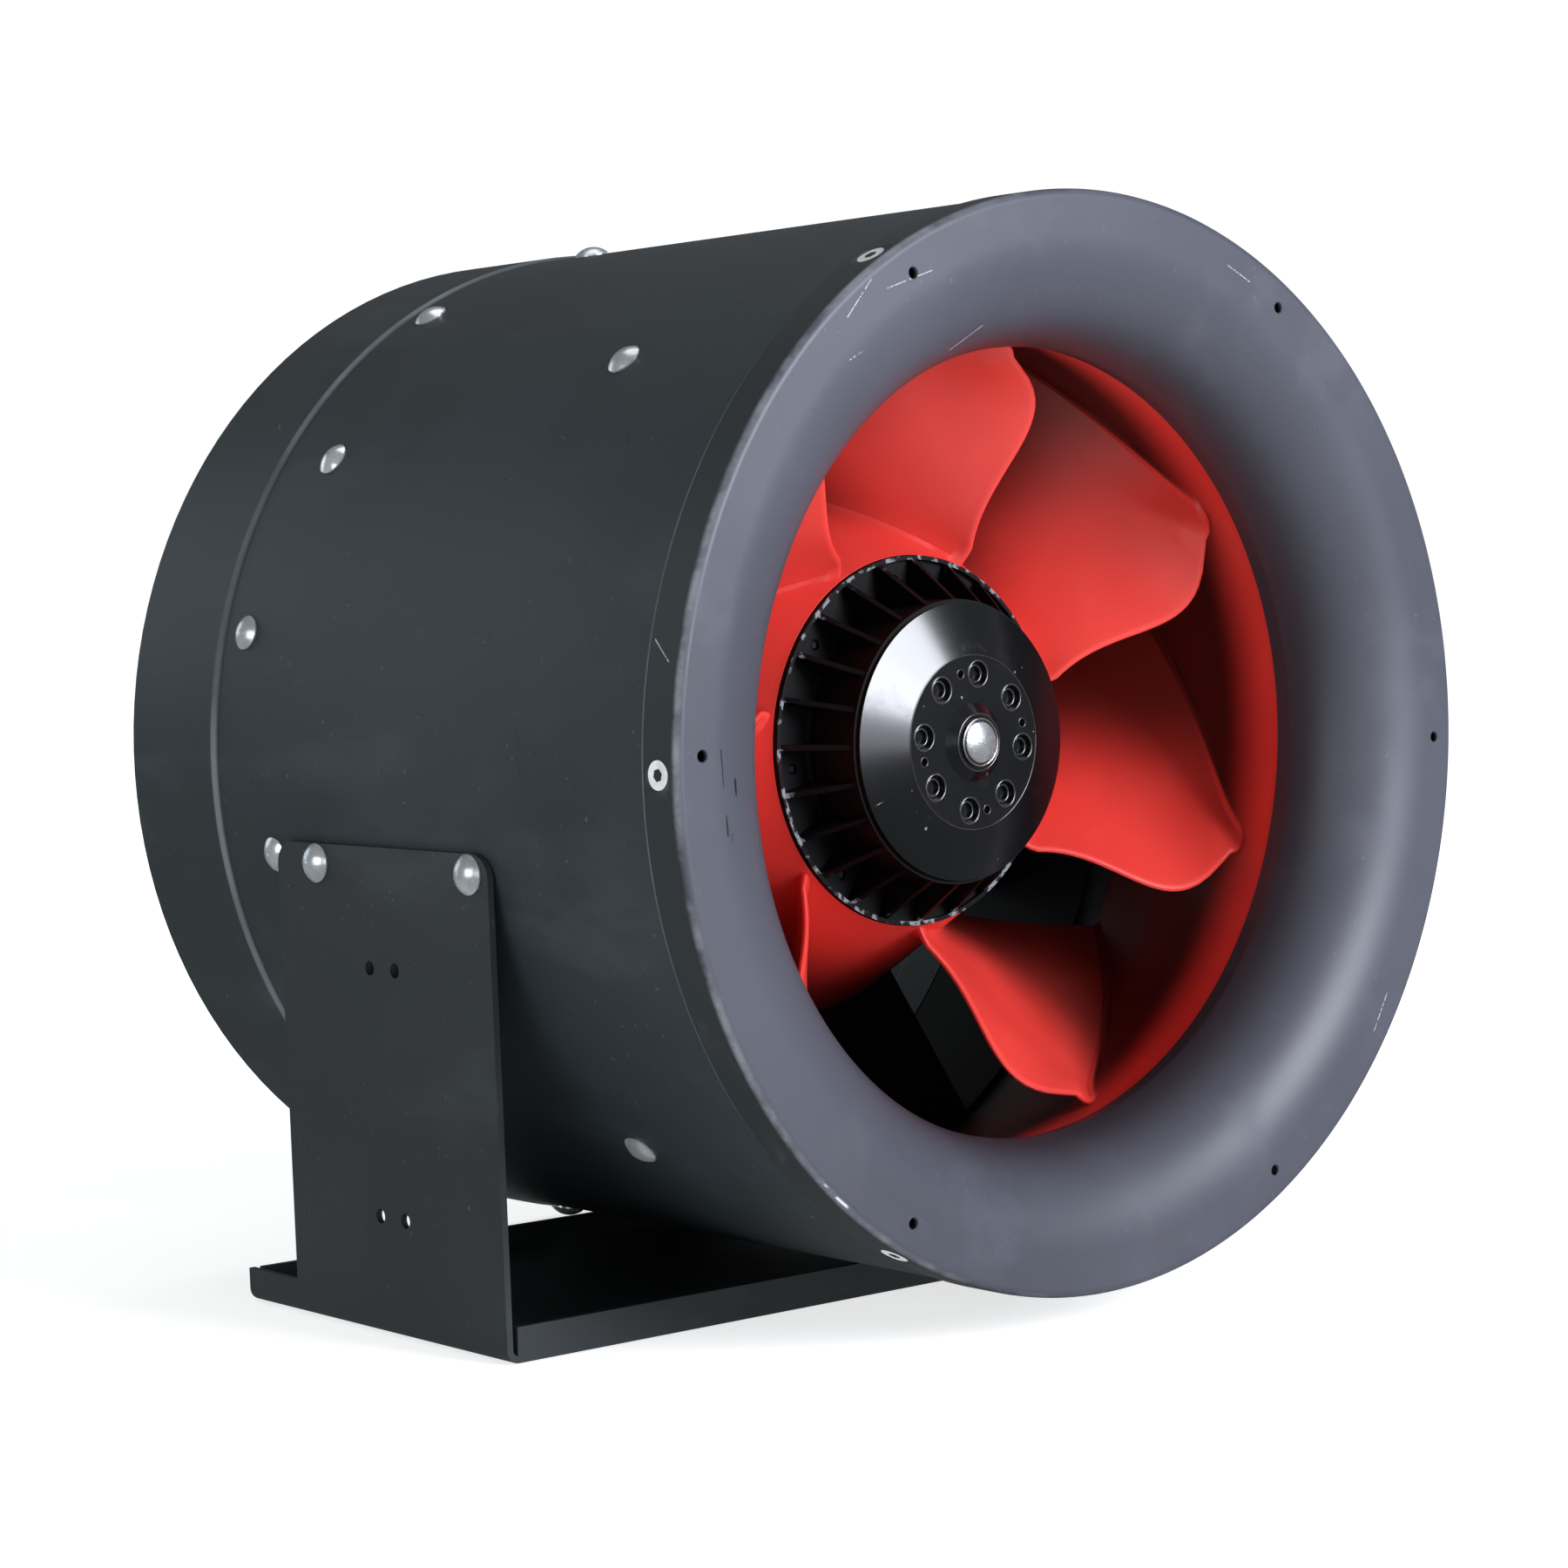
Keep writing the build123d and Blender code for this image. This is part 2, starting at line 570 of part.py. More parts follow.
def foot_strip(height, front, rear):
    """Base and two leaning sides of one bent sheet, between two depths."""
    top = FOOT_HALF + lean * height
    inside = FOOT_HALF - FOOT_T
    with BuildPart() as strip:
        with BuildSketch(Plane(origin=(0, FRONT_Y + front, 0), x_dir=(1, 0, 0), z_dir=(0, -1, 0))) as cut:
            with BuildLine():
                Polyline((-top, height), (-FOOT_HALF, 0), (FOOT_HALF, 0), (top, height),
                         (top - FOOT_T, height), (inside, FOOT_T), (-inside, FOOT_T),
                         (FOOT_T - top, height), close=True)
            make_face()
            base = cut.vertices().group_by(Axis.Y)
            fillet(base[0], radius=5.0)
            fillet(cut.vertices().filter_by_position(Axis.Y, FOOT_T - 0.1, FOOT_T + 0.1), radius=2.5)
        extrude(amount=-(rear - front))
    return strip.part


with BuildPart() as mounting_foot:
    add(foot_strip(ARM_TOP, FOOT_FRONT, ARM_REAR))
    add(foot_strip(FOOT_LIP, ARM_REAR, FOOT_REAR))
    for depth in (FOOT_FRONT, FOOT_REAR - FOOT_T):
        with BuildSketch(Plane(origin=(0, FRONT_Y + depth, 0), x_dir=(1, 0, 0), z_dir=(0, -1, 0))):
            with Locations((0, FOOT_LIP / 2)):
                Rectangle(2 * (FOOT_HALF - FOOT_T - 2), FOOT_LIP)
        extrude(amount=-FOOT_T)
    with BuildSketch(Plane.XY.offset(-1)):
        with Locations((0, FRONT_Y + (FOOT_FRONT + FOOT_REAR) / 2)):
            with GridLocations(FOOT_HOLES_X, FOOT_HOLES_Y, 2, 2):
                Circle(4.5)
    extrude(amount=FOOT_T + 2, mode=Mode.SUBTRACT)
    for side in (1, -1):
        with BuildSketch(Plane.YZ.offset(side * (FOOT_HALF - 8))):
            with Locations(*[(FRONT_Y + depth, ARM_SCREW_Z) for depth in ARM_SCREWS]):
                Circle(3.4)
            with Locations(*[(FRONT_Y + depth, up) for depth in ARM_HOLES_DEPTH for up in ARM_HOLES_Z]):
                Circle(2.75)
        extrude(amount=side * 20, mode=Mode.SUBTRACT)
    corners = mounting_foot.edges().filter_by(Axis.X, tolerance=3).filter_by_position(
        Axis.Z, ARM_TOP - 1, ARM_TOP + 1)
    fillet(corners, radius=9)
save(mounting_foot.part, "mounting_foot")

arm_face = FOOT_HALF + lean * ARM_SCREW_Z


def side_spots(reaches, facing):
    """The four foot screw places; reaches are the front and rear distances from the middle plane."""
    found = []
    for side in (1, -1):
        for depth, reach in zip(ARM_SCREWS, reaches):
            middle = (side * reach, FRONT_Y + depth, ARM_SCREW_Z)
            found.append(Plane(origin=middle, x_dir=(0, 1, 0), z_dir=(side * facing, 0, 0)).location)
    return found


with BuildPart() as foot_bolt:
    with BuildSketch(Plane.XZ):
        with BuildLine():
            Polyline((0, 4.6), (0, -17), (3.0, -17), (3.0, 0.1), (7.3, 0.1), (7.3, 0.7))
            RadiusArc((7.3, 0.7), (0, 4.6), -cap_radius(7.3, 3.9))
        make_face()
    revolve(axis=Axis.Z)
save(copies(foot_bolt.part, side_spots((arm_face + 0.1, arm_face + 0.1), 1)), "foot_screws")
save(copies(hex_nut(10.0, 6.0, 3.05), side_spots((191.0, 188.8), -1)), "foot_nuts")

# ---------------------------------------------------------------- terminal box
box_mid = (BOX_LOW + BOX_HIGH) / 2
box_deep = BOX_REAR - BOX_FRONT
box_tall = BOX_HIGH - BOX_LOW
box_y = FRONT_Y + (BOX_FRONT + BOX_REAR) / 2
casing_room = spun([(0, 0), (0, CASING_R + 0.3), (300, CASING_R + 0.3), (300, 0)])
lid_spots = [(box_y + i * (box_deep / 2 - 6), box_mid + j * (box_tall / 2 - 6))
             for i in (1, -1) for j in (1, -1)]
gland_at = (228.0, FRONT_Y + 157.0)


def box_plane(reach):
    """Plane facing +X: x along the fan axis, y up."""
    return Plane(origin=(reach, 0, 0), x_dir=(0, 1, 0), z_dir=(1, 0, 0))


with BuildPart() as terminal_box:
    with BuildSketch(box_plane(184)):
        with Locations((box_y, box_mid)):
            RectangleRounded(box_deep, box_tall, 6)
    extrude(amount=BOX_RIM - 184)
    with BuildSketch(box_plane(BOX_FLOOR)):
        with Locations((box_y, box_mid)):
            RectangleRounded(box_deep - 2 * BOX_WALL, box_tall - 2 * BOX_WALL, 4)
        with Locations(*lid_spots):
            Rectangle(12, 12, mode=Mode.SUBTRACT)
    extrude(amount=60, mode=Mode.SUBTRACT)
    add(casing_room, mode=Mode.SUBTRACT)
    with BuildSketch(box_plane(BOX_RIM - 14)):
        with Locations(*lid_spots):
            Circle(1.6)
    extrude(amount=20, mode=Mode.SUBTRACT)
    with BuildSketch(box_plane(184)):
        with Locations((FRONT_Y + lead_depth, AXIS_Z)):
            Circle(6.2)
        with Locations(*[(FRONT_Y + depth, AXIS_Z + up) for depth, up in box_screw_spots]):
            Circle(2.2)
    extrude(amount=30, mode=Mode.SUBTRACT)
    with BuildSketch(Plane.XY.offset(BOX_LOW - 5)):
        with Locations(gland_at):
            Circle(10.2)
    extrude(amount=12, mode=Mode.SUBTRACT)
save(terminal_box.part, "terminal_box")

with BuildPart() as box_gasket:
    with BuildSketch(box_plane(BOX_RIM)):
        with Locations((box_y, box_mid)):
            RectangleRounded(box_deep - 1, box_tall - 1, 5.5)
            RectangleRounded(box_deep - 2 * BOX_WALL, box_tall - 2 * BOX_WALL, 4, mode=Mode.SUBTRACT)
        with Locations(*lid_spots):
            Circle(4)
            Circle(2.1, mode=Mode.SUBTRACT)
    extrude(amount=1.5)
save(box_gasket.part, "box_gasket")

with BuildPart() as box_lid:
    with BuildSketch(box_plane(BOX_RIM + 1.5)):
        with Locations((box_y, box_mid)):
            RectangleRounded(box_deep, box_tall, 6)
    extrude(amount=4)
    fillet(box_lid.faces().sort_by(Axis.X)[-1].edges(), radius=1.6)
    with BuildSketch(box_plane(BOX_RIM)):
        with Locations(*lid_spots):
            Circle(2.1)
    extrude(amount=10, mode=Mode.SUBTRACT)
    with BuildSketch(box_plane(BOX_RIM + 3.6)):
        with Locations(*lid_spots):
            Circle(4.0)
    extrude(amount=6, mode=Mode.SUBTRACT)
save(box_lid.part, "box_lid")

lid_screw_spots = [Plane(origin=(BOX_RIM + 3.6, y, z), x_dir=(0, 1, 0), z_dir=(1, 0, 0)).location
                   for y, z in lid_spots]
save(copies(pan_screw(3.6, 2.2, 1.55, 15.0), lid_screw_spots), "lid_screws")

floor_spots = [Plane(origin=(BOX_FLOOR + 0.1, FRONT_Y + depth, AXIS_Z + up), x_dir=(0, 1, 0),
                     z_dir=(1, 0, 0)).location for depth, up in box_screw_spots]
save(copies(pan_screw(4.0, 2.4, 2.0, 12.0), floor_spots), "terminal_box_screws")

block_y = FRONT_Y + 170.0
block_z = AXIS_Z + 34.0
with BuildPart() as terminal_block:
    with BuildSketch(box_plane(BOX_FLOOR)):
        with Locations((block_y, block_z)):
            RectangleRounded(50, 16, 1.5)
    extrude(amount=14)
    with BuildSketch(box_plane(BOX_FLOOR + 5)):
        with Locations((block_y, block_z)):
            with GridLocations(10, 0, 4, 1):
                Circle(2.6)
    extrude(amount=12, mode=Mode.SUBTRACT)
    with BuildSketch(Plane.XY.offset(block_z - 10)):
        with Locations((BOX_FLOOR + 4, block_y)):
            with GridLocations(0, 10, 1, 4):
                Circle(1.8)
    extrude(amount=5, mode=Mode.SUBTRACT)
save(terminal_block.part, "terminal_block")
terminal_spots = [Plane(origin=(BOX_FLOOR + 10, block_y + 10 * k - 15, block_z), x_dir=(0, 1, 0),
                        z_dir=(1, 0, 0)).location for k in range(4)]
save(copies(pan_screw(2.4, 1.6, 1.5, 4.9), terminal_spots), "terminal_screws")

capacitor_r = 15.0
capacitor_x = BOX_FLOOR + 4 + capacitor_r
capacitor_z = AXIS_Z + 61.0
capacitor_plane = Plane(origin=(capacitor_x, FRONT_Y + 138, capacitor_z), x_dir=(1, 0, 0), z_dir=(0, 1, 0))
with BuildPart() as run_capacitor:
    with BuildSketch(capacitor_plane):
        Circle(capacitor_r)
    extrude(amount=62)
    fillet(run_capacitor.edges().filter_by(GeomType.CIRCLE), radius=1.5)
    with BuildSketch(capacitor_plane.offset(61)):
        with GridLocations(10, 0, 2, 1):
            Rectangle(0.8, 6.3)
    extrude(amount=9)
save(run_capacitor.part, "run_capacitor")
with BuildPart() as capacitor_clip:
    with BuildSketch(capacitor_plane.offset(22)):
        Circle(capacitor_r + 1.3)
        Circle(capacitor_r, mode=Mode.SUBTRACT)
        with Locations((-capacitor_r / 2 - 4, 0)):
            Rectangle(capacitor_r + 8 - 0.4, 16)
        Circle(capacitor_r, mode=Mode.SUBTRACT)
    extrude(amount=12)
    with BuildSketch(Plane.YZ.offset(BOX_FLOOR)):
        with Locations((FRONT_Y + 166, capacitor_z)):
            Rectangle(80, 80)
    extrude(amount=-20, mode=Mode.SUBTRACT)
save(capacitor_clip.part, "capacitor_clip")

# ---------------------------------------------------------------- cable gland and motor lead
gland_z = BOX_LOW
gland_place = Location((gland_at[0], gland_at[1], gland_z))
with BuildPart() as gland_body:
    add(turned([(6.6, 9), (10.0, 9), (10.0, -0.1), (14.0, -0.1), (14.0, -6), (10.4, -6), (10.4, -14),
                (8.4, -14), (8.4, -8), (6.6, -8)]).moved(gland_place))
save(gland_body.part, "gland_body")
save(turned([(5.0, -8.2), (8.2, -8.2), (8.2, -15.5), (7.0, -17.5), (5.0, -17.5)]).moved(gland_place),
     "gland_seal")
with BuildPart() as gland_cap:
    add(turned([(10.6, -6.4), (12.6, -6.4), (13.4, -8), (13.4, -15), (10.2, -20), (6.0, -20),
                (6.0, -17.8), (7.3, -17.8), (8.8, -15.4), (10.6, -14.6)]).moved(gland_place))
    with BuildSketch(Plane(origin=(gland_at[0], gland_at[1], gland_z - 21))):
        Circle(20)
        RegularPolygon(12.6, 6, major_radius=False, mode=Mode.SUBTRACT)
    extrude(amount=14, mode=Mode.SUBTRACT)
save(gland_cap.part, "gland_cap")
save(hex_nut(24.0, 5.0, 10.05).moved(Location((gland_at[0], gland_at[1], gland_z + BOX_WALL))),
     "gland_locknut")

lead_y = FRONT_Y + lead_depth
with BuildPart() as lead_conduit:
    with BuildSketch(box_plane(VANE_HUB_R - 6)):
        with Locations((lead_y, AXIS_Z)):
            Circle(6.0)
            Circle(4.8, mode=Mode.SUBTRACT)
    extrude(amount=BOX_FLOOR + 2 - VANE_HUB_R + 6)
save(lead_conduit.part, "lead_conduit")

lead_start = (30.0, FRONT_Y + 138.8, AXIS_Z)
with BuildPart() as motor_lead:
    with BuildLine():
        FilletPolyline(lead_start, (30.0, lead_y, AXIS_Z), (BOX_FLOOR + 8, lead_y, AXIS_Z),
                       (BOX_FLOOR + 8, lead_y, AXIS_Z + 14), (BOX_FLOOR + 8, block_y + 15, AXIS_Z + 14),
                       (BOX_FLOOR + 8, block_y + 15, AXIS_Z + 25.8), radius=4)
    with BuildSketch(Plane(origin=lead_start, z_dir=(0, 1, 0))):
        Circle(3.6)
    sweep()
save(motor_lead.part, "motor_lead")
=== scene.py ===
"""Looks for the inline duct fan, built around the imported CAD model. Metres, +Z up."""

import math

import bmesh
import bpy
import numpy as np
from mathutils import Matrix, Vector


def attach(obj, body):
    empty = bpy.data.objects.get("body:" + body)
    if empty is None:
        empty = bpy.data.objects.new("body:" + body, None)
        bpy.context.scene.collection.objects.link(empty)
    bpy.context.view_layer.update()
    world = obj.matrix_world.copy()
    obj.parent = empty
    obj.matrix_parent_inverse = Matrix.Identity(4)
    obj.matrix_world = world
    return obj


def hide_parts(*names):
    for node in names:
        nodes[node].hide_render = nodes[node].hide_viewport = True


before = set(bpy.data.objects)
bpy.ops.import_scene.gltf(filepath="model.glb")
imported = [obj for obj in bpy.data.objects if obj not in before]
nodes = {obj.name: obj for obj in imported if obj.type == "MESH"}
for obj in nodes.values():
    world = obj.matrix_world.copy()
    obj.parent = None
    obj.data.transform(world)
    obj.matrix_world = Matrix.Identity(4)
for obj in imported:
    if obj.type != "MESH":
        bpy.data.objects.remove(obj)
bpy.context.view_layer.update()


MM = 0.001
AXIS_Z = 212.0            # fan axis above the floor, mm
FRONT_Y = -189.75         # inlet face, mm
TAU = 2 * math.pi
BELL_RADIUS = 200         # outside of the bellmouth, mm
SHROUD_FRONT = 42         # depths of the impeller shroud's front and rear edges, mm
SHROUD_REAR = 165


def at_depth(depth):
    """Row-frame y, in metres, of a depth in mm behind the inlet face."""
    return (FRONT_Y + depth) * MM


# ---------------------------------------------------------------- meshes
def around(depth, radius, angle):
    """Row-frame point, in metres, from mm along the axis, mm from it, and radians seen from the inlet."""
    return Vector((radius * math.cos(angle), FRONT_Y + depth, AXIS_Z + radius * math.sin(angle))) * MM


def make_object(name, mesh):
    obj = bpy.data.objects.new(name, mesh)
    bpy.context.scene.collection.objects.link(obj)
    return obj


def grid_faces(bm, rows, wrap_row=False, wrap_line=False):
    """Smooth quads between rows of vertices."""
    count, length = len(rows), len(rows[0])
    for i in range(count if wrap_row else count - 1):
        for j in range(length if wrap_line else length - 1):
            a, b = rows[i], rows[(i + 1) % count]
            face = bm.faces.new((a[j], b[j], b[(j + 1) % length], a[(j + 1) % length]))
            face.smooth = True


def lathe(bm, outline, steps):
    """Solid of revolution about the fan axis from a closed outline of (depth, radius) points in mm."""
    rows = [[bm.verts.new(around(d, r, TAU * k / steps)) for d, r in outline] for k in range(steps)]
    grid_faces(bm, rows, wrap_row=True, wrap_line=True)


def finish_mesh(bm, name, sharp=32.0):
    """Mesh object with its normals outward, its edges above the sharp angle, in degrees, marked."""
    bmesh.ops.recalc_face_normals(bm, faces=bm.faces)
    limit = math.radians(sharp)
    for edge in bm.edges:
        if len(edge.link_faces) == 2 and edge.calc_face_angle(0) > limit:
            edge.smooth = False
    mesh = bpy.data.meshes.new(name)
    bm.to_mesh(mesh)
    bm.free()
    return make_object(name, mesh)


def rounded(outline, radius, steps=3):
    """The outline with each of its corners rounded."""
    out = []
    count = len(outline)
    for i, corner in enumerate(outline):
        here = Vector(corner)
        before = Vector(outline[i - 1]) - here
        after = Vector(outline[(i + 1) % count]) - here
        cut = min(radius, before.length * 0.45, after.length * 0.45)
        start = here + before.normalized() * cut
        end = here + after.normalized() * cut
        for k in range(steps + 1):
            t = k / steps
            out.append(tuple((1 - t) ** 2 * start + 2 * t * (1 - t) * here + t * t * end))
    return out


# ---------------------------------------------------------------- materials
class Finish:
    """A procedural material. Places are in the row frame, in metres."""

    def __init__(self, name):
        self.material = bpy.data.materials.new(name)
        self.material.use_nodes = True
        self.tree = self.material.node_tree
        self.shader = next(n for n in self.tree.nodes if n.type == "BSDF_PRINCIPLED")
        self.place = self.node("TexCoord").outputs["Object"]
        split = self.node("SeparateXYZ", {"Vector": self.place})
        self.x, self.y, self.z = split.outputs

    def node(self, kind, inputs=None, **settings):
        made = self.tree.nodes.new("ShaderNode" + kind)
        for key, value in settings.items():
            setattr(made, key, value)
        for key, value in (inputs or {}).items():
            self.give(made.inputs[key], value)
        return made

    def give(self, socket, value):
        if isinstance(value, bpy.types.NodeSocket):
            self.tree.links.new(value, socket)
        else:
            socket.default_value = value

    def math(self, kind, *values, clamp=False):
        made = self.node("Math", operation=kind, use_clamp=clamp)
        for socket, value in zip(made.inputs, values):
            self.give(socket, value)
        return made.outputs[0]

    def noise(self, scale, detail=2.0, rough=0.5, place=None):
        made = self.node("TexNoise", {"Vector": place or self.place, "Scale": scale, "Detail": detail,
                                      "Roughness": rough})
        return made.outputs["Fac"]

    def stretch(self, x, y, z):
        made = self.node("Mapping", {"Vector": self.place, "Scale": (x, y, z)})
        return made.outputs[0]

    def span(self, value, low, high, to_low=0.0, to_high=1.0, smooth=False):
        made = self.node("MapRange", {"Value": value, "From Min": low, "From Max": high,
                                      "To Min": to_low, "To Max": to_high},
                         interpolation_type="SMOOTHSTEP" if smooth else "LINEAR")
        return made.outputs[0]

    def mix(self, factor, first, second):
        made = self.node("Mix", data_type="RGBA")
        self.give(made.inputs[0], factor)
        self.give(made.inputs[6], first)
        self.give(made.inputs[7], second)
        return made.outputs[2]

    def hypotenuse(self, a, b):
        squares = self.math("ADD", self.math("MULTIPLY", a, a), self.math("MULTIPLY", b, b))
        return self.math("SQRT", squares)

    def radius(self):
        """Distance from the fan axis."""
        return self.hypotenuse(self.x, self.math("SUBTRACT", self.z, AXIS_Z * MM))

    def base_colour(self):
        """What feeds the base colour so far."""
        return self.shader.inputs["Base Color"].links[0].from_socket

    def stroke(self, a, b, width):
        """How far a point lies inside a thin line from a to b, in row-frame mm: 1 on it, 0 outside."""
        start = Vector(a) * MM
        step = Vector(b) * MM - start
        away = self.node("VectorMath", {0: self.place, 1: start}, operation="SUBTRACT").outputs[0]
        dot = self.node("VectorMath", {0: away, 1: step / step.length_squared}, operation="DOT_PRODUCT")
        share = self.math("ADD", dot.outputs["Value"], 0.0, clamp=True)
        along = self.node("VectorMath", {0: step, "Scale": share}, operation="SCALE").outputs[0]
        off = self.node("VectorMath", {0: away, 1: along}, operation="SUBTRACT").outputs[0]
        gap = self.node("VectorMath", {0: off}, operation="LENGTH").outputs["Value"]
        return self.span(gap, width * MM, width * 0.3 * MM, smooth=True)

    def strokes(self, lines, breaks=900.0):
        """Several broken scratches together."""
        total = None
        for a, b, width in lines:
            one = self.stroke(a, b, width)
            total = one if total is None else self.math("MAXIMUM", total, one)
        return self.math("MULTIPLY", total, self.span(self.noise(breaks, 1.0, 0.5), 0.36, 0.50))

    def bump(self, *layers):
        """Bump from (height, distance in metres) layers, one over another."""
        normal = None
        for height, distance in layers:
            inputs = {"Height": height, "Strength": 1.0, "Distance": distance}
            if normal is not None:
                inputs["Normal"] = normal
            normal = self.node("Bump", inputs).outputs[0]
        self.give(self.shader.inputs["Normal"], normal)

    def set(self, **values):
        for key, value in values.items():
            self.give(self.shader.inputs[key.replace("_", " ")], value)
        return self


def rgb(r, g, b):
    return (r, g, b, 1.0)


finishes = {}


def painted(name, dark, light, rough, dust=0.22, speck=0.5, over=None):
    """Satin powder coat on sheet: fine orange peel, faint waves, dust, specks, and wear from over."""
    f = Finish(name)
    patches = f.span(f.noise(5.0, 3.0, 0.6), 0.35, 0.68, smooth=True)
    smears = f.span(f.noise(22.0, 4.0, 0.62, place=f.stretch(1.0, 0.35, 1.0)), 0.52, 0.75, smooth=True)
    specks = f.span(f.noise(420.0, 1.0, 0.4), 0.735, 0.80)
    colour = f.mix(patches, dark, light)
    dusty = tuple(min(1.0, 2.1 * c + 0.012) for c in light[:3]) + (1.0,)
    colour = f.mix(f.math("MULTIPLY", smears, dust), colour, dusty)
    colour = f.mix(f.math("MULTIPLY", specks, speck), colour, tuple(3.2 * c for c in light[:3]) + (1.0,))
    roughness = f.math("ADD", f.math("MULTIPLY", patches, 0.05),
                       f.math("MULTIPLY_ADD", smears, 0.10, rough - 0.02))
    if over:
        colour = over(f, colour)
    f.set(Base_Color=colour, Roughness=roughness)
    f.bump((f.noise(1500.0, 2.0, 0.5), 0.00002), (f.noise(14.0, 1.0, 0.4), 0.0006))
    finishes[name] = f
    return f


def metal(name, dark, light, rough, scale=60.0, metallic=1.0):
    """Plated or plain metal: cloudy colour, uneven shine, fine dents."""
    f = Finish(name)
    clouds = f.span(f.noise(scale, 3.0, 0.6), 0.3, 0.7, smooth=True)
    spots = f.span(f.noise(scale * 9, 2.0, 0.5), 0.62, 0.75)
    colour = f.mix(clouds, dark, light)
    colour = f.mix(f.math("MULTIPLY", spots, 0.14), colour, tuple(0.45 * c for c in dark[:3]) + (1.0,))
    roughness = f.math("MULTIPLY_ADD", clouds, -0.10, f.math("MULTIPLY_ADD", spots, 0.15, rough + 0.05))
    f.set(Base_Color=colour, Roughness=roughness)
    f.shader.inputs["Metallic"].default_value = metallic
    f.bump((f.noise(scale * 14, 2.0, 0.6), 0.000008), (f.noise(scale * 3, 2.0, 0.5), 0.00008))
    finishes[name] = f
    return f


def plastic(name, dark, light, rough, grain=2200.0, depth=0.00003):
    """Moulded plastic: fine texture, slight shade change, a little dust."""
    f = Finish(name)
    patches = f.span(f.noise(9.0, 3.0, 0.6), 0.35, 0.68, smooth=True)
    dust = f.span(f.noise(60.0, 4.0, 0.7), 0.56, 0.8, smooth=True)
    colour = f.mix(patches, dark, light)
    grey = tuple(0.8 * c + 0.02 for c in light[:3]) + (1.0,)
    colour = f.mix(f.math("MULTIPLY", dust, 0.25), colour, grey)
    roughness = f.math("MULTIPLY_ADD", dust, 0.15, f.math("MULTIPLY_ADD", patches, 0.05, rough - 0.03))
    f.set(Base_Color=colour, Roughness=roughness)
    f.bump((f.noise(grain, 2.0, 0.5), depth), (f.noise(30.0, 1.0, 0.4), 0.0002))
    finishes[name] = f
    return f


def at_face(x, z, depth=0.0):
    """Row-frame mm of a point on the bellmouth, x across from the axis and z above it."""
    return (x, FRONT_Y + depth, AXIS_Z + z)


def on_casing(depth, angle, radius=199.8):
    """Row-frame mm of a point on the casing's outside, the angle in degrees."""
    return tuple(v / MM for v in around(depth, radius, math.radians(angle)))


def casing_wear(f, colour):
    """Scratches, dark marks, painted highlights along the skirt's edge and the collar joint, and smudges on
    the casing.
    """
    scratches = [
        (on_casing(102.5, 168.5), on_casing(97, 174), 0.55),
        (on_casing(70, 163), on_casing(66, 168), 0.5),
        (on_casing(118, 158), on_casing(116, 162.5), 0.45),
        (on_casing(95.3, 177.6), on_casing(84, 180.2), 0.4),
        (on_casing(299.3, 140.4), on_casing(297.5, 141), 0.9),
        (on_casing(140, 20), on_casing(96, 28), 0.5),
        (on_casing(60, 75), on_casing(110, 84), 0.5),
        (on_casing(150, 205), on_casing(132, 214), 0.5),
    ]
    colour = f.mix(f.math("MULTIPLY", f.strokes(scratches), 0.7), colour, rgb(0.12, 0.13, 0.135))
    spots = [
        (on_casing(116.6, 149.1), on_casing(113, 149.3), 1.6),
        (on_casing(108.6, 167), on_casing(107.6, 167.4), 1.8),
        (on_casing(66.6, 145.7), on_casing(64.6, 146.4), 1.8),
        (on_casing(88, 176), on_casing(86, 181), 1.2),
    ]
    colour = f.mix(f.math("MULTIPLY", f.strokes(spots, 300.0), 0.7), colour, rgb(0.008, 0.008, 0.008))
    # Painted highlights: light lines along the bellmouth skirt's rear edge and the collar joint, broken by
    # noise.
    seam_highlights = None
    for depth, width in ((18.4, 1.4), (281.4, 2.0)):
        gap = f.math("ABSOLUTE", f.math("SUBTRACT", f.y, at_depth(depth)))
        line = f.span(gap, width * MM, width * 0.25 * MM, smooth=True)
        seam_highlights = line if seam_highlights is None else f.math("MAXIMUM", seam_highlights, line)
    seam_highlights = f.math("MULTIPLY", seam_highlights, f.span(f.noise(16.0, 3.0, 0.6), 0.34, 0.62, 0.35, 0.9))
    colour = f.mix(seam_highlights, colour, rgb(0.130, 0.148, 0.158))
    smudge = f.span(f.noise(9.0, 5.0, 0.68, place=f.stretch(1.0, 0.5, 2.2)), 0.60, 0.78, smooth=True)
    return f.mix(f.math("MULTIPLY", smudge, 0.20), colour, rgb(0.045, 0.049, 0.052))


f = painted("casing_paint", rgb(0.0190, 0.0255, 0.0295), rgb(0.0250, 0.0330, 0.0380), rough=0.50,
            over=casing_wear)
f.set(Specular_IOR_Level=0.40)


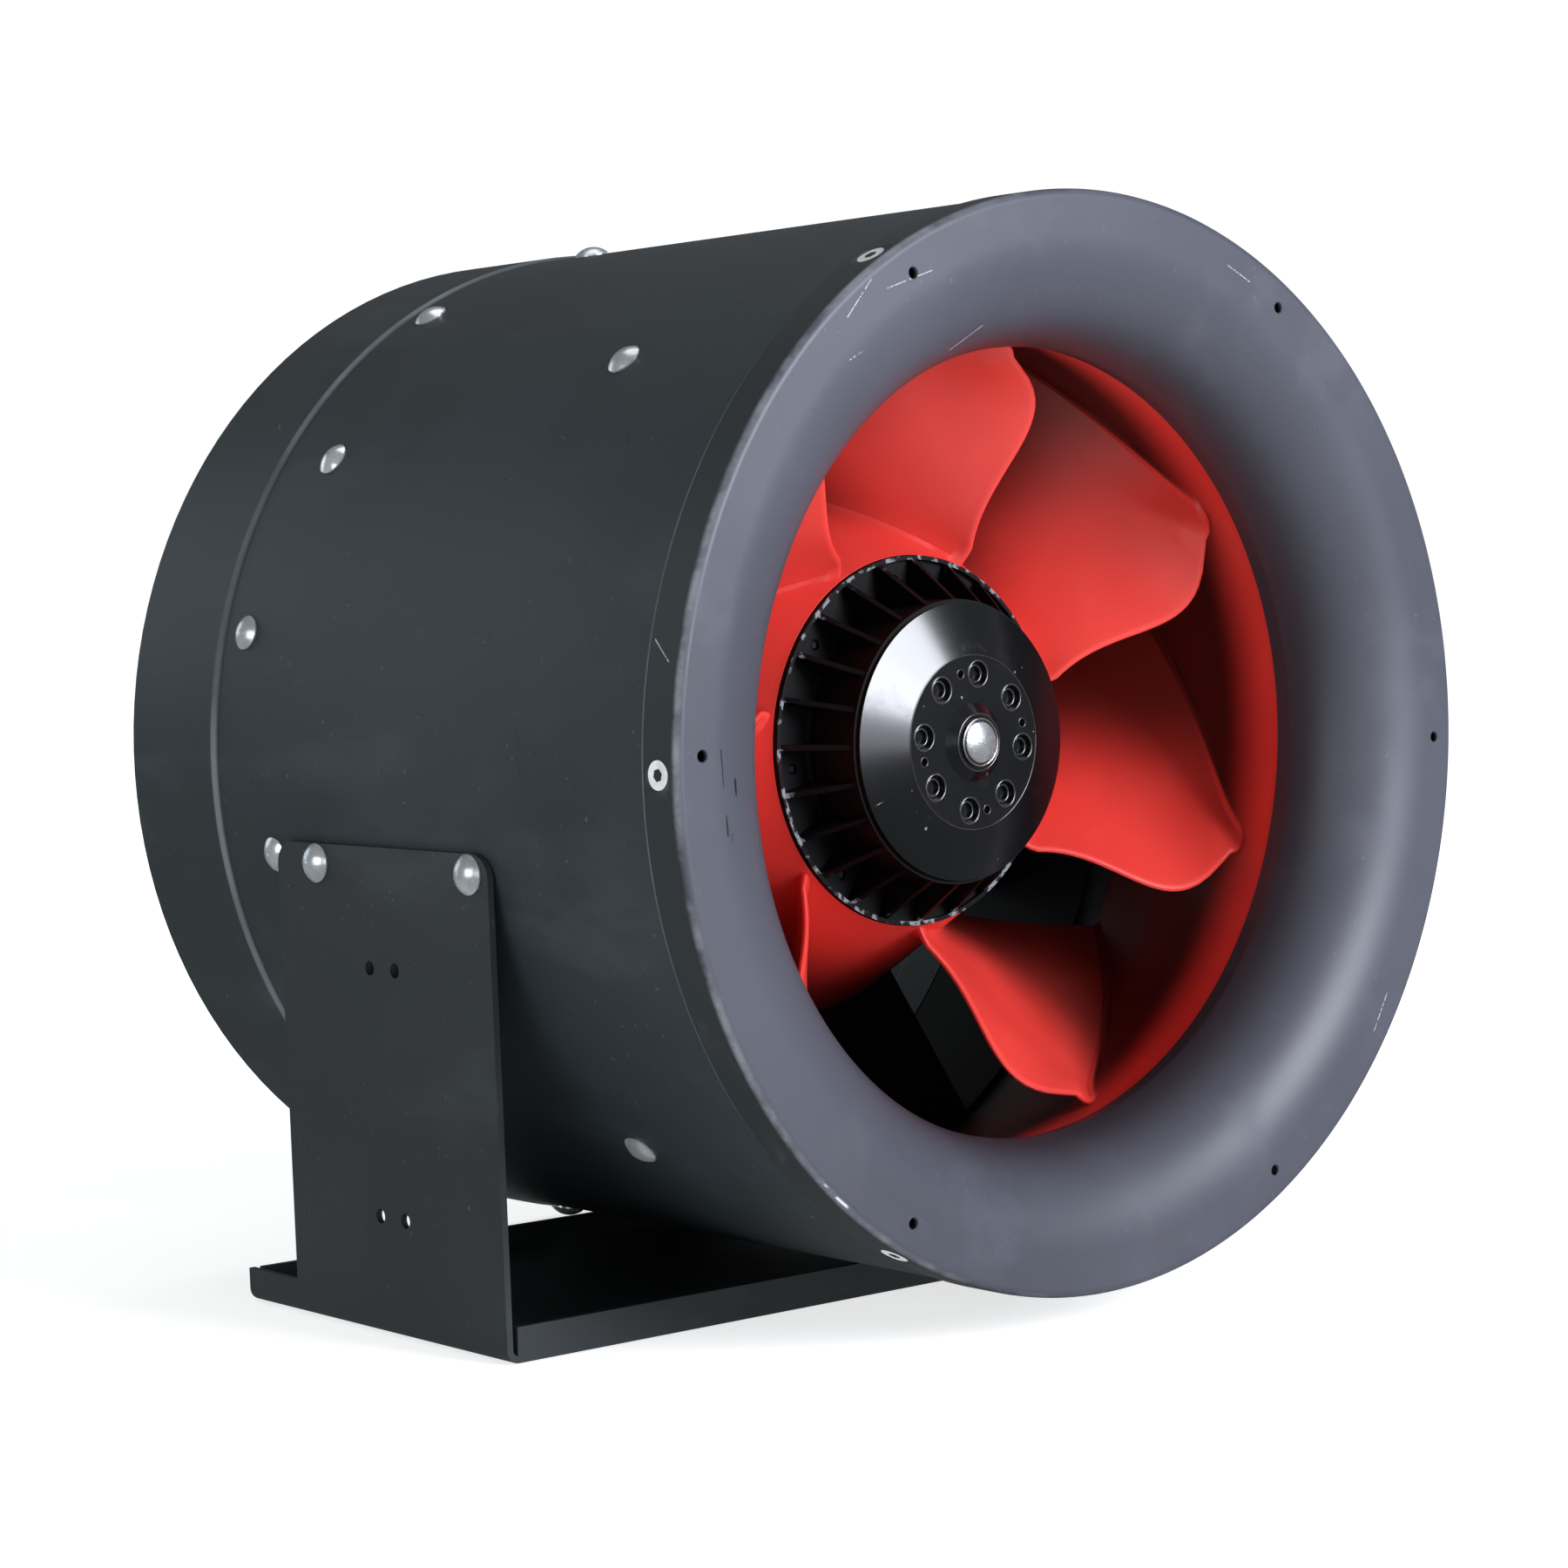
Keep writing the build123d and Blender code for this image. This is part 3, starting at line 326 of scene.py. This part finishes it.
def bell_wear(f, colour):
    """The skirt without the face's painted sheen, painted shade in the throat, scuffs, scratches, dark
    marks, a rubbed edge with a painted highlight, and chips.
    """
    # The skirt keeps the plain dark paint, without the front face's painted sheen.
    deep = f.span(f.y, at_depth(0.6), at_depth(2.6))
    outside = f.span(f.radius(), 0.1955, 0.1985)
    band = f.math("MULTIPLY", deep, outside)
    # The band is laid over this painted highlight along the skirt's rear edge and hides it on the outermost
    # skin.
    rear = f.math("MULTIPLY", f.span(f.y, at_depth(15.6), at_depth(17.0), smooth=True), outside)
    colour = f.mix(f.math("MULTIPLY", rear, 0.75), colour, rgb(0.085, 0.098, 0.110))
    # Painted shade in the throat, darker with depth.
    throat = f.span(f.y, at_depth(5), at_depth(32), smooth=True)
    throat = f.math("MULTIPLY", throat, f.span(f.radius(), 0.185, 0.182))
    colour = f.mix(f.math("MULTIPLY", throat, 0.72), colour, rgb(0.018, 0.018, 0.022))
    colour = f.mix(band, colour, rgb(0.021, 0.026, 0.029))
    scuff = f.span(f.noise(55.0, 5.0, 0.65, place=f.stretch(1.0, 1.0, 0.35)), 0.57, 0.74, smooth=True)
    colour = f.mix(f.math("MULTIPLY", scuff, 0.22), colour, rgb(0.085, 0.085, 0.10))
    scratches = [
        (at_face(-121.6, 149.5), at_face(-110.6, 162.5), 0.3),
        (at_face(-120.7, 135.2), at_face(-101.5, 145), 0.35),
        (at_face(-59.5, 141.4, 15.5), at_face(-47, 150.7, 10.5), 0.35),
        (at_face(-103, 160), at_face(-82, 167), 0.25),
        (at_face(-93, 149), at_face(-84, 158), 0.25),
        (at_face(70, 176), at_face(82, 170.5), 0.25),
        (on_casing(15.2, 167.7, BELL_RADIUS), on_casing(6.9, 169.8, BELL_RADIUS), 0.35),
        (at_face(150, -118), at_face(158, -104), 0.3),
    ]
    colour = f.mix(f.math("MULTIPLY", f.strokes(scratches), 0.75), colour, rgb(0.46, 0.47, 0.50))
    marks = [
        (at_face(-174.1, -4.1, 1.3), at_face(-173.8, -9, 1.3), 0.8),
        (at_face(-179.3, -12.1), at_face(-178.5, -22.2), 0.7),
        (at_face(-176.8, -22, 0.7), at_face(-175.8, -34.2, 0.9), 0.5),
        (at_face(-175.6, -34.2, 0.9), at_face(-177.5, -50, 0.6), 0.55),
        (at_face(-167.1, -60.8, 3.9), at_face(-166.3, -72.5, 4.2), 0.7),
        (at_face(-181, 6), at_face(-180, -6), 0.45),
    ]
    colour = f.mix(f.math("MULTIPLY", f.strokes(marks, 260.0), 0.95), colour, rgb(0.003, 0.003, 0.004))
    # The front corner's rubbed light edge: partly wear, partly a painted highlight, stronger towards the
    # left.
    edge = f.math("MULTIPLY", f.span(f.radius(), 0.1978, 0.1992), f.span(f.y, at_depth(3.2), at_depth(1.6)))
    edge = f.math("MULTIPLY", edge, f.span(f.noise(40.0, 4.0, 0.7), 0.40, 0.60))
    edge = f.math("MULTIPLY", edge, f.span(f.x, 0.05, -0.15, 0.15, 1.0))
    colour = f.mix(f.math("MULTIPLY", edge, 0.50), colour, rgb(0.26, 0.27, 0.30))
    chips = [
        (at_face(-139.8, -142.1, 0.6), at_face(-137.2, -144.5, 0.6), 0.8),
        (at_face(-133, -148.2, 0.8), at_face(-128.1, -152.0, 0.8), 0.7),
    ]
    return f.mix(f.strokes(chips, 300.0), colour, rgb(0.60, 0.60, 0.62))


# Painted sheen: the front face gets a lighter, violet tone than the skirt, though both are one paint.
f = painted("bellmouth_paint", rgb(0.054, 0.056, 0.073), rgb(0.064, 0.066, 0.085), rough=0.40,
            dust=0.12, speck=0.15, over=bell_wear)
f.set(Specular_IOR_Level=0.35)

f = painted("foot_paint", rgb(0.0215, 0.0265, 0.0290), rgb(0.0275, 0.0330, 0.0360), rough=0.50)
f.set(Specular_IOR_Level=0.40)

painted("inner_paint", rgb(0.0095, 0.0110, 0.0120), rgb(0.0135, 0.0150, 0.0160), rough=0.52)
f = painted("vane_paint", rgb(0.0045, 0.0050, 0.0055), rgb(0.0070, 0.0076, 0.0082), rough=0.60)
f.set(Specular_IOR_Level=0.16)
painted("tail_paint", rgb(0.012, 0.013, 0.014), rgb(0.018, 0.020, 0.021), rough=0.45)

# Painted shade: the impeller's colour is darkened close to its shroud's inner wall, and with depth between
# the blades.
f = plastic("impeller_red", rgb(0.62, 0.036, 0.028), rgb(0.72, 0.048, 0.037), rough=0.40, grain=1600.0)
colour = f.base_colour()
back = f.math("SUBTRACT", f.y, at_depth(SHROUD_FRONT))
bound = f.math("ADD", f.math("MULTIPLY_ADD", back, 0.115, 0.1490),
               f.math("MULTIPLY", f.math("MULTIPLY", back, back), 1.3))
wall = f.math("MULTIPLY", f.span(f.math("SUBTRACT", f.radius(), bound), 0.0, 0.0006),
              f.span(f.y, at_depth(50), at_depth(84), smooth=True))
colour = f.mix(f.math("MULTIPLY", wall, 0.97), colour, rgb(0.020, 0.004, 0.003))
inward = f.math("ADD", back, f.math("MAXIMUM", f.math("MULTIPLY_ADD", f.radius(), 0.9, -0.099), 0.0))
deep = f.span(inward, 0.070, 0.116, smooth=True)
colour = f.mix(f.math("MULTIPLY", deep, 0.85), colour, rgb(0.085, 0.009, 0.006))
f.set(Base_Color=colour, Specular_IOR_Level=0.36)

# The motor's rotor is glossy black with a few specks and light scratches.
f = plastic("rotor_black", rgb(0.0022, 0.0025, 0.0030), rgb(0.0040, 0.0044, 0.0052), rough=0.18,
            depth=0.00001)
f.set(Coat_Weight=0.30, Coat_Roughness=0.14)
colour = f.base_colour()
specks = f.span(f.noise(330.0, 1.0, 0.4), 0.785, 0.81)
colour = f.mix(f.math("MULTIPLY", specks, 0.6), colour, rgb(0.30, 0.31, 0.33))
scratches = [
    (at_face(-9, 46, 72.5), at_face(-4, 45.6, 72.2), 0.22),
    (at_face(-49, -7, 73), at_face(-43, -13, 71.5), 0.2),
    (at_face(-46, -22, 73), at_face(-42, -20, 72), 0.2),
    (at_face(-4, -45, 72), at_face(-2, -46, 72.3), 0.3),
]
colour = f.mix(f.math("MULTIPLY", f.strokes(scratches, 500.0), 0.7), colour, rgb(0.42, 0.43, 0.45))
f.set(Base_Color=colour)
brim_finish = plastic("brim_black", rgb(0.018, 0.019, 0.021), rgb(0.030, 0.031, 0.034), rough=0.14,
                      depth=0.00001)
brim_finish.set(Coat_Weight=1.0, Coat_Roughness=0.08, Specular_IOR_Level=0.9)

# Painted highlights: the black ring is lightened in places along its outer front edge, as small glints.
f = plastic("ring_black", rgb(0.0016, 0.0016, 0.0019), rgb(0.0030, 0.0030, 0.0034), rough=0.55)
f.set(Specular_IOR_Level=0.14)
colour = f.base_colour()
rim = f.math("MULTIPLY", f.span(f.radius(), 0.0672, 0.0690), f.span(f.noise(260.0, 2.0, 0.5), 0.50, 0.60))
rim = f.math("MULTIPLY", rim, f.span(f.y, at_depth(99.6), at_depth(98.4)))
f.set(Base_Color=f.mix(f.math("MULTIPLY", rim, 0.8), colour, rgb(0.36, 0.38, 0.42)))

metal("zinc", rgb(0.54, 0.57, 0.59), rgb(0.78, 0.80, 0.82), rough=0.25, scale=70.0, metallic=0.72)
metal("steel", rgb(0.45, 0.45, 0.44), rgb(0.70, 0.69, 0.67), rough=0.24, scale=120.0)
metal("brass_parts", rgb(0.50, 0.34, 0.12), rgb(0.72, 0.52, 0.22), rough=0.32)
metal("flange_cast", rgb(0.33, 0.34, 0.35), rgb(0.50, 0.51, 0.52), rough=0.50)
metal("cage_cast", rgb(0.36, 0.37, 0.38), rgb(0.52, 0.53, 0.54), rough=0.45)
metal("laminations", rgb(0.10, 0.10, 0.11), rgb(0.20, 0.20, 0.21), rough=0.42)
metal("copper_winding", rgb(0.40, 0.13, 0.05), rgb(0.62, 0.24, 0.10), rough=0.34)
plastic("box_plastic", rgb(0.014, 0.015, 0.016), rgb(0.022, 0.023, 0.025), rough=0.48)
plastic("seal_rubber", rgb(0.010, 0.010, 0.010), rgb(0.018, 0.018, 0.018), rough=0.72)
plastic("gland_plastic", rgb(0.013, 0.013, 0.014), rgb(0.024, 0.024, 0.025), rough=0.42)
plastic("block_plastic", rgb(0.52, 0.50, 0.45), rgb(0.66, 0.64, 0.58), rough=0.45)
plastic("capacitor_case", rgb(0.50, 0.51, 0.52), rgb(0.66, 0.67, 0.68), rough=0.40)
plastic("lead_jacket", rgb(0.02, 0.02, 0.02), rgb(0.035, 0.035, 0.035), rough=0.55)

# The cap is silver in the middle; beyond 7.8 mm of the axis, where its separate rim stands, it is painted
# dark as the shade in the gap.
cap = metal("cap_polished", rgb(0.38, 0.40, 0.41), rgb(0.62, 0.64, 0.65), rough=0.28, scale=240.0,
            metallic=0.8)
colour = cap.base_colour()
gap_shade = cap.span(cap.radius(), 0.0074, 0.0078)
cap.set(Base_Color=cap.mix(cap.math("MULTIPLY", gap_shade, 0.92), colour, rgb(0.02, 0.02, 0.022)))

oxide = metal("black_oxide", rgb(0.012, 0.012, 0.013), rgb(0.026, 0.026, 0.028), rough=0.42, scale=200.0,
              metallic=0.6)
bright = metal("bright_screws", rgb(0.62, 0.64, 0.66), rgb(0.82, 0.83, 0.84), rough=0.34, scale=200.0,
               metallic=0.15)

# These three CAD nodes get a finish of their own, every other one that of its slot.
special = {"shaft_cap": cap, "impeller_screws": oxide, "bellmouth_screws": bright}

for name, node in nodes.items():
    for place in node.material_slots:
        finish = special.get(name) or finishes[place.material.name.split(".")[0]]
        place.material = finish.material


def dress(obj, slot, body="casing", replaces=()):
    """Material, body and replaced nodes of a new piece."""
    obj.data.materials.append(finishes[slot].material)
    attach(obj, body)
    if replaces:
        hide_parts(*replaces)
    return obj


# ---------------------------------------------------------------- impeller
BLADES = 7
BLADE_ANGLE = 72.0                  # where the first blade stands, degrees
MIDDLE = math.radians(20.0)         # turn of the line along which a blade's curve is written
BLADE_HALF = 1.3                    # half the thickness of a blade, mm
SINK = 1.2                          # how far a blade runs into hub and shroud, mm
NOSE = 2.2                          # length over which its front edge rounds, mm
FILLET = 3.2                        # radius of its roots, mm
TIP_CUT = 0.075                     # share of the chord that the front corner at the shroud lacks
SHROUD_WALL = 2.5                   # mm
HUB_FRONT, HUB_REAR = 101, 175      # depths, mm
HUB_FRONT_RADIUS = 71.3             # mm
SHROUD = np.polyfit([SHROUD_FRONT, 57, 92, 130, SHROUD_REAR], [151.5, 152.4, 159.5, 171.5, 186.0], 4)


def leading_depth(radius):
    """Depth of the blades' front edge."""
    return 103.5 - 0.59 * (radius - 73)


def shroud_r(depth):
    """Inner radius of the shroud."""
    return float(np.polyval(SHROUD, depth))


def hub_r(depth):
    """Outer radius of the hub."""
    return HUB_FRONT_RADIUS + 0.55 * (depth - HUB_FRONT)


def edge_bend(radius):
    """Degrees by which the leading edge bends round the axis: back at the hub, forward at the tip."""
    t = min(max((radius - 76) / 69, 0), 1.1)
    s = 1 - t
    return -4.1 * s ** 3 + 14.1 * s * s * t - 14.7 * s * t * t + 4.8 * t ** 3


def blade_angle(depth, radius):
    """Angle of the blade's middle surface at a depth and radius, past its leading edge."""
    def offset(across):
        edge_r = across / math.cos(MIDDLE)
        along = depth - leading_depth(edge_r)
        slope = 0.72 + 0.0104 * (across - 70)
        curl = 0.0034 - 0.000033 * (across - 90)
        bend = edge_r * math.radians(edge_bend(edge_r)) * math.exp(-(max(along, 0) / 26) ** 2)
        return -across * math.tan(MIDDLE) + slope * along - curl * along * along + bend

    low, high = radius * 0.2, radius
    for _ in range(40):
        across = (low + high) / 2
        if across * across + offset(across) ** 2 < radius * radius:
            low = across
        else:
            high = across
    return MIDDLE + math.atan2(offset(across), across)


def blade_grid(spans=30, chords=44):
    """Middle points, in mm about the axis, of one blade from hub to shroud and from front to rear."""
    rows = []
    for i in range(spans + 1):
        s = i / spans
        row = []
        for j in range(chords + 1):
            c = (j / chords) ** 1.6
            late = max(0.0, (s - 0.88) / 0.12)
            c = TIP_CUT * late ** 2.2 + (1 - TIP_CUT * late ** 2.2) * c
            hub_depth = 103.2 + c * (172 - 103.2)
            tip_depth = 56.6 + c * (161 - 56.6)
            hub = np.array((hub_depth, hub_r(hub_depth) - SINK))
            tip = np.array((tip_depth, shroud_r(tip_depth) + SINK))
            depth, radius = hub * (1 - s) + tip * s
            angle = blade_angle(depth, radius)
            row.append(Vector((radius * math.cos(angle), depth, radius * math.sin(angle))))
        rows.append(row)
    return rows


def blade_shell(rows):
    """Closed section points for each row: the upper side, round the front, and the lower side."""
    spans, chords = len(rows) - 1, len(rows[0]) - 1
    normals = []
    for i in range(spans + 1):
        line = []
        for j in range(chords + 1):
            across = rows[min(i + 1, spans)][j] - rows[max(i - 1, 0)][j]
            along = rows[i][min(j + 1, chords)] - rows[i][max(j - 1, 0)]
            line.append(along.cross(across).normalized())
        normals.append(line)
    shells = []
    for i in range(spans + 1):
        from_hub = (rows[i][chords // 2] - rows[0][chords // 2]).length - SINK
        from_tip = (rows[spans][chords // 2] - rows[i][chords // 2]).length - SINK
        root = 0.0
        for gap in (from_hub, from_tip):
            if gap < FILLET:
                root = max(root, FILLET - math.sqrt(max(0.0, FILLET ** 2 - (FILLET - max(gap, 0.0)) ** 2)))
        length = 0.0
        upper, lower = [], []
        for j in range(chords + 1):
            if j:
                length += (rows[i][j] - rows[i][j - 1]).length
            ease = min(1.0, length / NOSE)
            half = BLADE_HALF * math.sqrt(1 - (1 - ease) ** 2)
            half *= 1 - 0.35 * (j / chords) ** 2
            half += root * min(1.0, length / 6.0)
            upper.append(rows[i][j] + normals[i][j] * half)
            lower.append(rows[i][j] - normals[i][j] * half)
        shells.append(upper[::-1] + lower[1:])
    return shells


def turned_point(point, angle):
    """A point about the axis, in mm, turned counter-clockwise as seen from the inlet, in the row frame."""
    c, s = math.cos(angle), math.sin(angle)
    return Vector((point.x * c - point.z * s, FRONT_Y + point.y, AXIS_Z + point.x * s + point.z * c)) * MM


shells = blade_shell(blade_grid())
bm = bmesh.new()
for k in range(BLADES):
    turn = math.radians(BLADE_ANGLE) + TAU * k / BLADES
    rows = [[bm.verts.new(turned_point(p, turn)) for p in shell] for shell in shells]
    grid_faces(bm, rows, wrap_line=True)
    bm.faces.new(rows[0])
    bm.faces.new(rows[-1][::-1])

SHROUD_STEPS = 40
inner = []
for k in range(SHROUD_STEPS + 1):
    depth = SHROUD_FRONT + k * (SHROUD_REAR - SHROUD_FRONT) / SHROUD_STEPS
    inner.append((depth, shroud_r(depth)))
outer = [(d, r + SHROUD_WALL) for d, r in inner[::-1]]
front_r = inner[0][1]
rear_r = inner[-1][1]
rear_edge = [(164.2, rear_r), (165, rear_r + 1.2), (164.2, rear_r + SHROUD_WALL)]
front_edge = [(43.0, front_r + SHROUD_WALL), (42.2, front_r + 2.0), (42.0, front_r + 1.2),
              (42.2, front_r + 0.5)]
lathe(bm, [(43.0, front_r + 0.02)] + inner[1:-1] + rear_edge + outer[1:-1] + front_edge, 256)
hub_profile = [(HUB_FRONT, HUB_FRONT_RADIUS), (HUB_REAR, hub_r(HUB_REAR)), (HUB_REAR, hub_r(HUB_REAR) - 3.2),
               (107.2, hub_r(107.2) - 3.6), (107.2, 55.5), (104.2, 55.5), (104.2, 71.1), (HUB_FRONT, 71.1)]
lathe(bm, rounded(hub_profile, 0.5), 224)
impeller = finish_mesh(bm, "impeller_wheel")
dress(impeller, "impeller_red", "rotor", ["impeller"])


# ---------------------------------------------------------------- inlet bellmouth
SHEET = 2                           # thickness of the bellmouth's lip, mm
LIP_RADIUS = 38                     # outside of the lip's curve into the throat, mm
LIP_CENTRE = (38, 184)              # its centre, as depth and radius
CORNER_CENTRE = (3, 197)            # centre of the rounding between front and skirt
CORNER_RADIUS = 3
GUARD_CIRCLE, GUARD_ANGLE = 189, -1.3       # the six guard holes in the front: mm, degrees
SCREW_ANGLE, SCREW_DEPTH = 0.5, 10          # the six screws round the skirt: degrees, mm


def arc(centre, radius, start, end, steps):
    """(depth, radius) points of an arc, its angles in degrees from the fan's rear towards larger radius."""
    angles = [math.radians(start + (end - start) * k / steps) for k in range(steps + 1)]
    return [(centre[0] + radius * math.cos(a), centre[1] + radius * math.sin(a)) for a in angles]


def cut_away(obj, cutter):
    """The object with the cutter's shape taken out of it."""
    change = obj.modifiers.new("cut", "BOOLEAN")
    change.operation = "DIFFERENCE"
    change.solver = "EXACT"
    change.object = cutter
    ready = obj.evaluated_get(bpy.context.evaluated_depsgraph_get())
    mesh = bpy.data.meshes.new_from_object(ready)
    mesh.name = obj.name
    obj.modifiers.clear()
    obj.data = mesh
    bpy.data.objects.remove(cutter)


def cones(name, rings, steps=40):
    """Closed turned pins, each a list of (centre, direction, [(along, radius), ...]) in mm."""
    bm = bmesh.new()
    for centre, direction, outline in rings:
        direction = Vector(direction).normalized()
        side = direction.orthogonal().normalized()
        other = direction.cross(side)
        rows = []
        for along, radius in outline:
            middle = Vector(centre) + direction * along
            rows.append([bm.verts.new((middle + radius * (side * math.cos(TAU * k / steps)
                                                         + other * math.sin(TAU * k / steps))) * MM)
                         for k in range(steps)])
        grid_faces(bm, rows, wrap_line=True)
        bm.faces.new(rows[0][::-1])
        bm.faces.new(rows[-1])
    return finish_mesh(bm, name)


def sixth(start, k):
    """Direction from the axis of the k-th of six places, seen from the inlet, the first at start degrees."""
    angle = math.radians(start + 60 * k)
    return Vector((math.cos(angle), 0, math.sin(angle)))


def round_axis(direction, radius, depth=0):
    """Row-frame mm of a point in a direction from the axis."""
    return Vector((0, FRONT_Y + depth, AXIS_Z)) + direction * radius


profile = [(17.4, BELL_RADIUS), (10, BELL_RADIUS), (3.3, BELL_RADIUS)]
profile += arc(CORNER_CENTRE, CORNER_RADIUS, 90, 180, 8)
profile += [(0, 196.6), (0, 190.5), (0, 184.6)]
profile += arc(LIP_CENTRE, LIP_RADIUS, 180, 270, 40)
profile += [(38.4, 146.08), (45.6, 147.56), (45.8, 147.8), (45.8, 149.4), (45.5, 149.56), (38, 148)]
profile += arc(LIP_CENTRE, LIP_RADIUS - SHEET, 270, 180, 24)[1:]
profile += [(2, 196), (3, 197), (17.2, 197), (17.5, 197.3), (17.5, 199.8)]
bm = bmesh.new()
lathe(bm, profile, 360)
bell = finish_mesh(bm, "bellmouth_ring")
pins = []
for k in range(6):
    guard = sixth(GUARD_ANGLE, k)
    pins.append((round_axis(guard, GUARD_CIRCLE), (0, 1, 0), [(-1, 2.45), (0, 2.35), (0.3, 2.0), (4, 2.0)]))
    screw = sixth(SCREW_ANGLE, k)
    pins.append((round_axis(screw, BELL_RADIUS, SCREW_DEPTH), screw,
                 [(-5, 2.7), (-2.8, 2.7), (0.05, 5.55), (1, 5.55)]))
cut_away(bell, cones("bellmouth_cutter", pins))
for part in bell.data.polygons:
    part.use_smooth = True
dress(bell, "bellmouth_paint", "casing", ["inlet_bellmouth"])

# Black hexagons stand for the painted shade in the sockets of the six screws round the bellmouth.
socket_shades = []
for k in range(6):
    screw = sixth(SCREW_ANGLE, k)
    socket_shades.append((round_axis(screw, 199.9, SCREW_DEPTH), screw, [(-0.3, 2.35), (0.05, 2.3)]))
dress(cones("screw_socket_shades", socket_shades, 6), "seal_rubber", "casing")


# ---------------------------------------------------------------- rotor brims and cap rim
BLIND_CIRCLE, BLIND_ANGLE = 25.8, 39        # eight blind holes in the rotor's front: mm, degrees
SMALL_CIRCLE, SMALL_ANGLE = 26.5, 14        # four small holes between them


def hoop(bm, across, above, depth, reach, tube, steps=32):
    """A ring of round section facing the inlet, its centre across and above the axis, in mm."""
    rows = []
    for i in range(steps):
        turn = TAU * i / steps
        row = []
        for j in range(8):
            curve = TAU * j / 8
            out = reach + tube * math.cos(curve)
            point = Vector((across + out * math.cos(turn), FRONT_Y + depth + tube * math.sin(curve),
                            AXIS_Z + above + out * math.sin(turn)))
            row.append(bm.verts.new(point * MM))
        rows.append(row)
    grid_faces(bm, rows, wrap_row=True, wrap_line=True)


bm = bmesh.new()
for k in range(8):
    angle = math.radians(BLIND_ANGLE + 45 * k)
    across = BLIND_CIRCLE * math.cos(angle)
    above = BLIND_CIRCLE * math.sin(angle)
    hoop(bm, across, above, 67.65, 5.0, 0.42)
    hoop(bm, across, above, 69.5, 3.25, 0.40)
for k in range(4):
    angle = math.radians(SMALL_ANGLE + 90 * k)
    hoop(bm, SMALL_CIRCLE * math.cos(angle), SMALL_CIRCLE * math.sin(angle), 67.62, 1.75, 0.22, 20)
# Round the boss and round the rotor's front.
hoop(bm, 0, 0, 64.95, 10.75, 0.35, 64)
hoop(bm, 0, 0, 67.6, 32.9, 0.22, 128)
brims = dress(finish_mesh(bm, "rotor_brims", sharp=80), "rotor_black", "rotor")
brims.data.materials[0] = brim_finish.material
bm = bmesh.new()
hoop(bm, 0, 0, 64.0, 8.85, 0.40, 64)
dress(finish_mesh(bm, "cap_rim", sharp=80), "steel", "rotor")

# ---------------------------------------------------------------- stage, lights and camera
bm = bmesh.new()
bmesh.ops.create_circle(bm, cap_ends=True, segments=96, radius=14.0)
floor = finish_mesh(bm, "floor")
floor.location.z = -0.0004
paper = Finish("floor_white")
shade = paper.span(paper.noise(3.0, 2.0), 0.3, 0.7, 0.78, 0.82)
grey = paper.node("CombineColor", {"Red": shade, "Green": shade, "Blue": shade}).outputs[0]
paper.set(Base_Color=grey, Roughness=0.9)
paper.shader.inputs["Emission Color"].default_value = rgb(1, 1, 1)
away = paper.hypotenuse(paper.x, paper.y)
paper.set(Emission_Strength=paper.span(away, 0.38, 0.95, 0.70, 1.10, smooth=True))
paper.shader.inputs["Specular IOR Level"].default_value = 0.0
floor.data.materials.append(paper.material)
floor.visible_glossy = False

bm = bmesh.new()
bmesh.ops.create_uvsphere(bm, u_segments=64, v_segments=32, radius=13.0)
dome = finish_mesh(bm, "backdrop")
dome_finish = Finish("backdrop_white")
dome_finish.set(Base_Color=rgb(0, 0, 0), Roughness=1.0)
dome_finish.shader.inputs["Emission Color"].default_value = rgb(1, 1, 1)
dome_finish.shader.inputs["Emission Strength"].default_value = 1.05
dome.data.materials.append(dome_finish.material)
for flag in ("visible_glossy", "visible_diffuse", "visible_transmission", "visible_shadow"):
    setattr(dome, flag, False)

world = bpy.data.worlds.new("studio")
bpy.context.scene.world = world
world.use_nodes = True
world.node_tree.nodes["Background"].inputs["Color"].default_value = rgb(0.95, 0.98, 1.0)
world.node_tree.nodes["Background"].inputs["Strength"].default_value = 0.16

MIDST = (0.0, -0.1, 0.21)


def softbox(name, place, width, height, power, colour=(1, 1, 1)):
    """Rectangular area light aimed at the middle of the fan."""
    light = bpy.data.lights.new(name, "AREA")
    light.shape = "RECTANGLE"
    light.size, light.size_y = width, height
    light.energy = power
    light.color = colour
    obj = bpy.data.objects.new(name, light)
    bpy.context.scene.collection.objects.link(obj)
    obj.location = place
    obj.rotation_euler = (Vector(MIDST) - Vector(place)).to_track_quat("-Z", "Y").to_euler()
    return obj


softbox("key", (0.66, -2.20, 1.02), 1.15, 1.1, 76, (0.89, 0.92, 1.0))
gloss = softbox("gloss", (0.40, -2.35, 0.50), 1.0, 0.9, 10, (0.82, 0.86, 1.0))
gloss.visible_diffuse = False
softbox("fill", (-1.9, -2.2, 0.5), 1.4, 1.2, 6, (0.95, 0.97, 1.0))
softbox("left", (-2.9, -0.5, 0.6), 1.8, 1.4, 26, (0.88, 0.96, 1.0))
softbox("back", (-0.9, 2.9, 1.0), 1.5, 1.3, 7, (0.80, 0.92, 1.0))
softbox("top", (0.1, 0.3, 2.6), 1.6, 1.6, 12)

camera_data = bpy.data.cameras.new("camera")
camera_data.lens = 80.55
camera_data.sensor_width = 36.0
camera_data.clip_start = 0.05
camera = bpy.data.objects.new("camera", camera_data)
bpy.context.scene.collection.objects.link(camera)
right = Vector((0.75336, -0.65734, -0.01882))
up = Vector((0.04846, 0.02695, 0.99846))
back = right.cross(up)
place = Vector((-0.92033, -1.06983, 0.26648))
camera.matrix_world = Matrix((
    (right.x, up.x, back.x, place.x), (right.y, up.y, back.y, place.y),
    (right.z, up.z, back.z, place.z), (0, 0, 0, 1)))
bpy.context.scene.camera = camera
bpy.context.scene.view_settings.view_transform = "Standard"
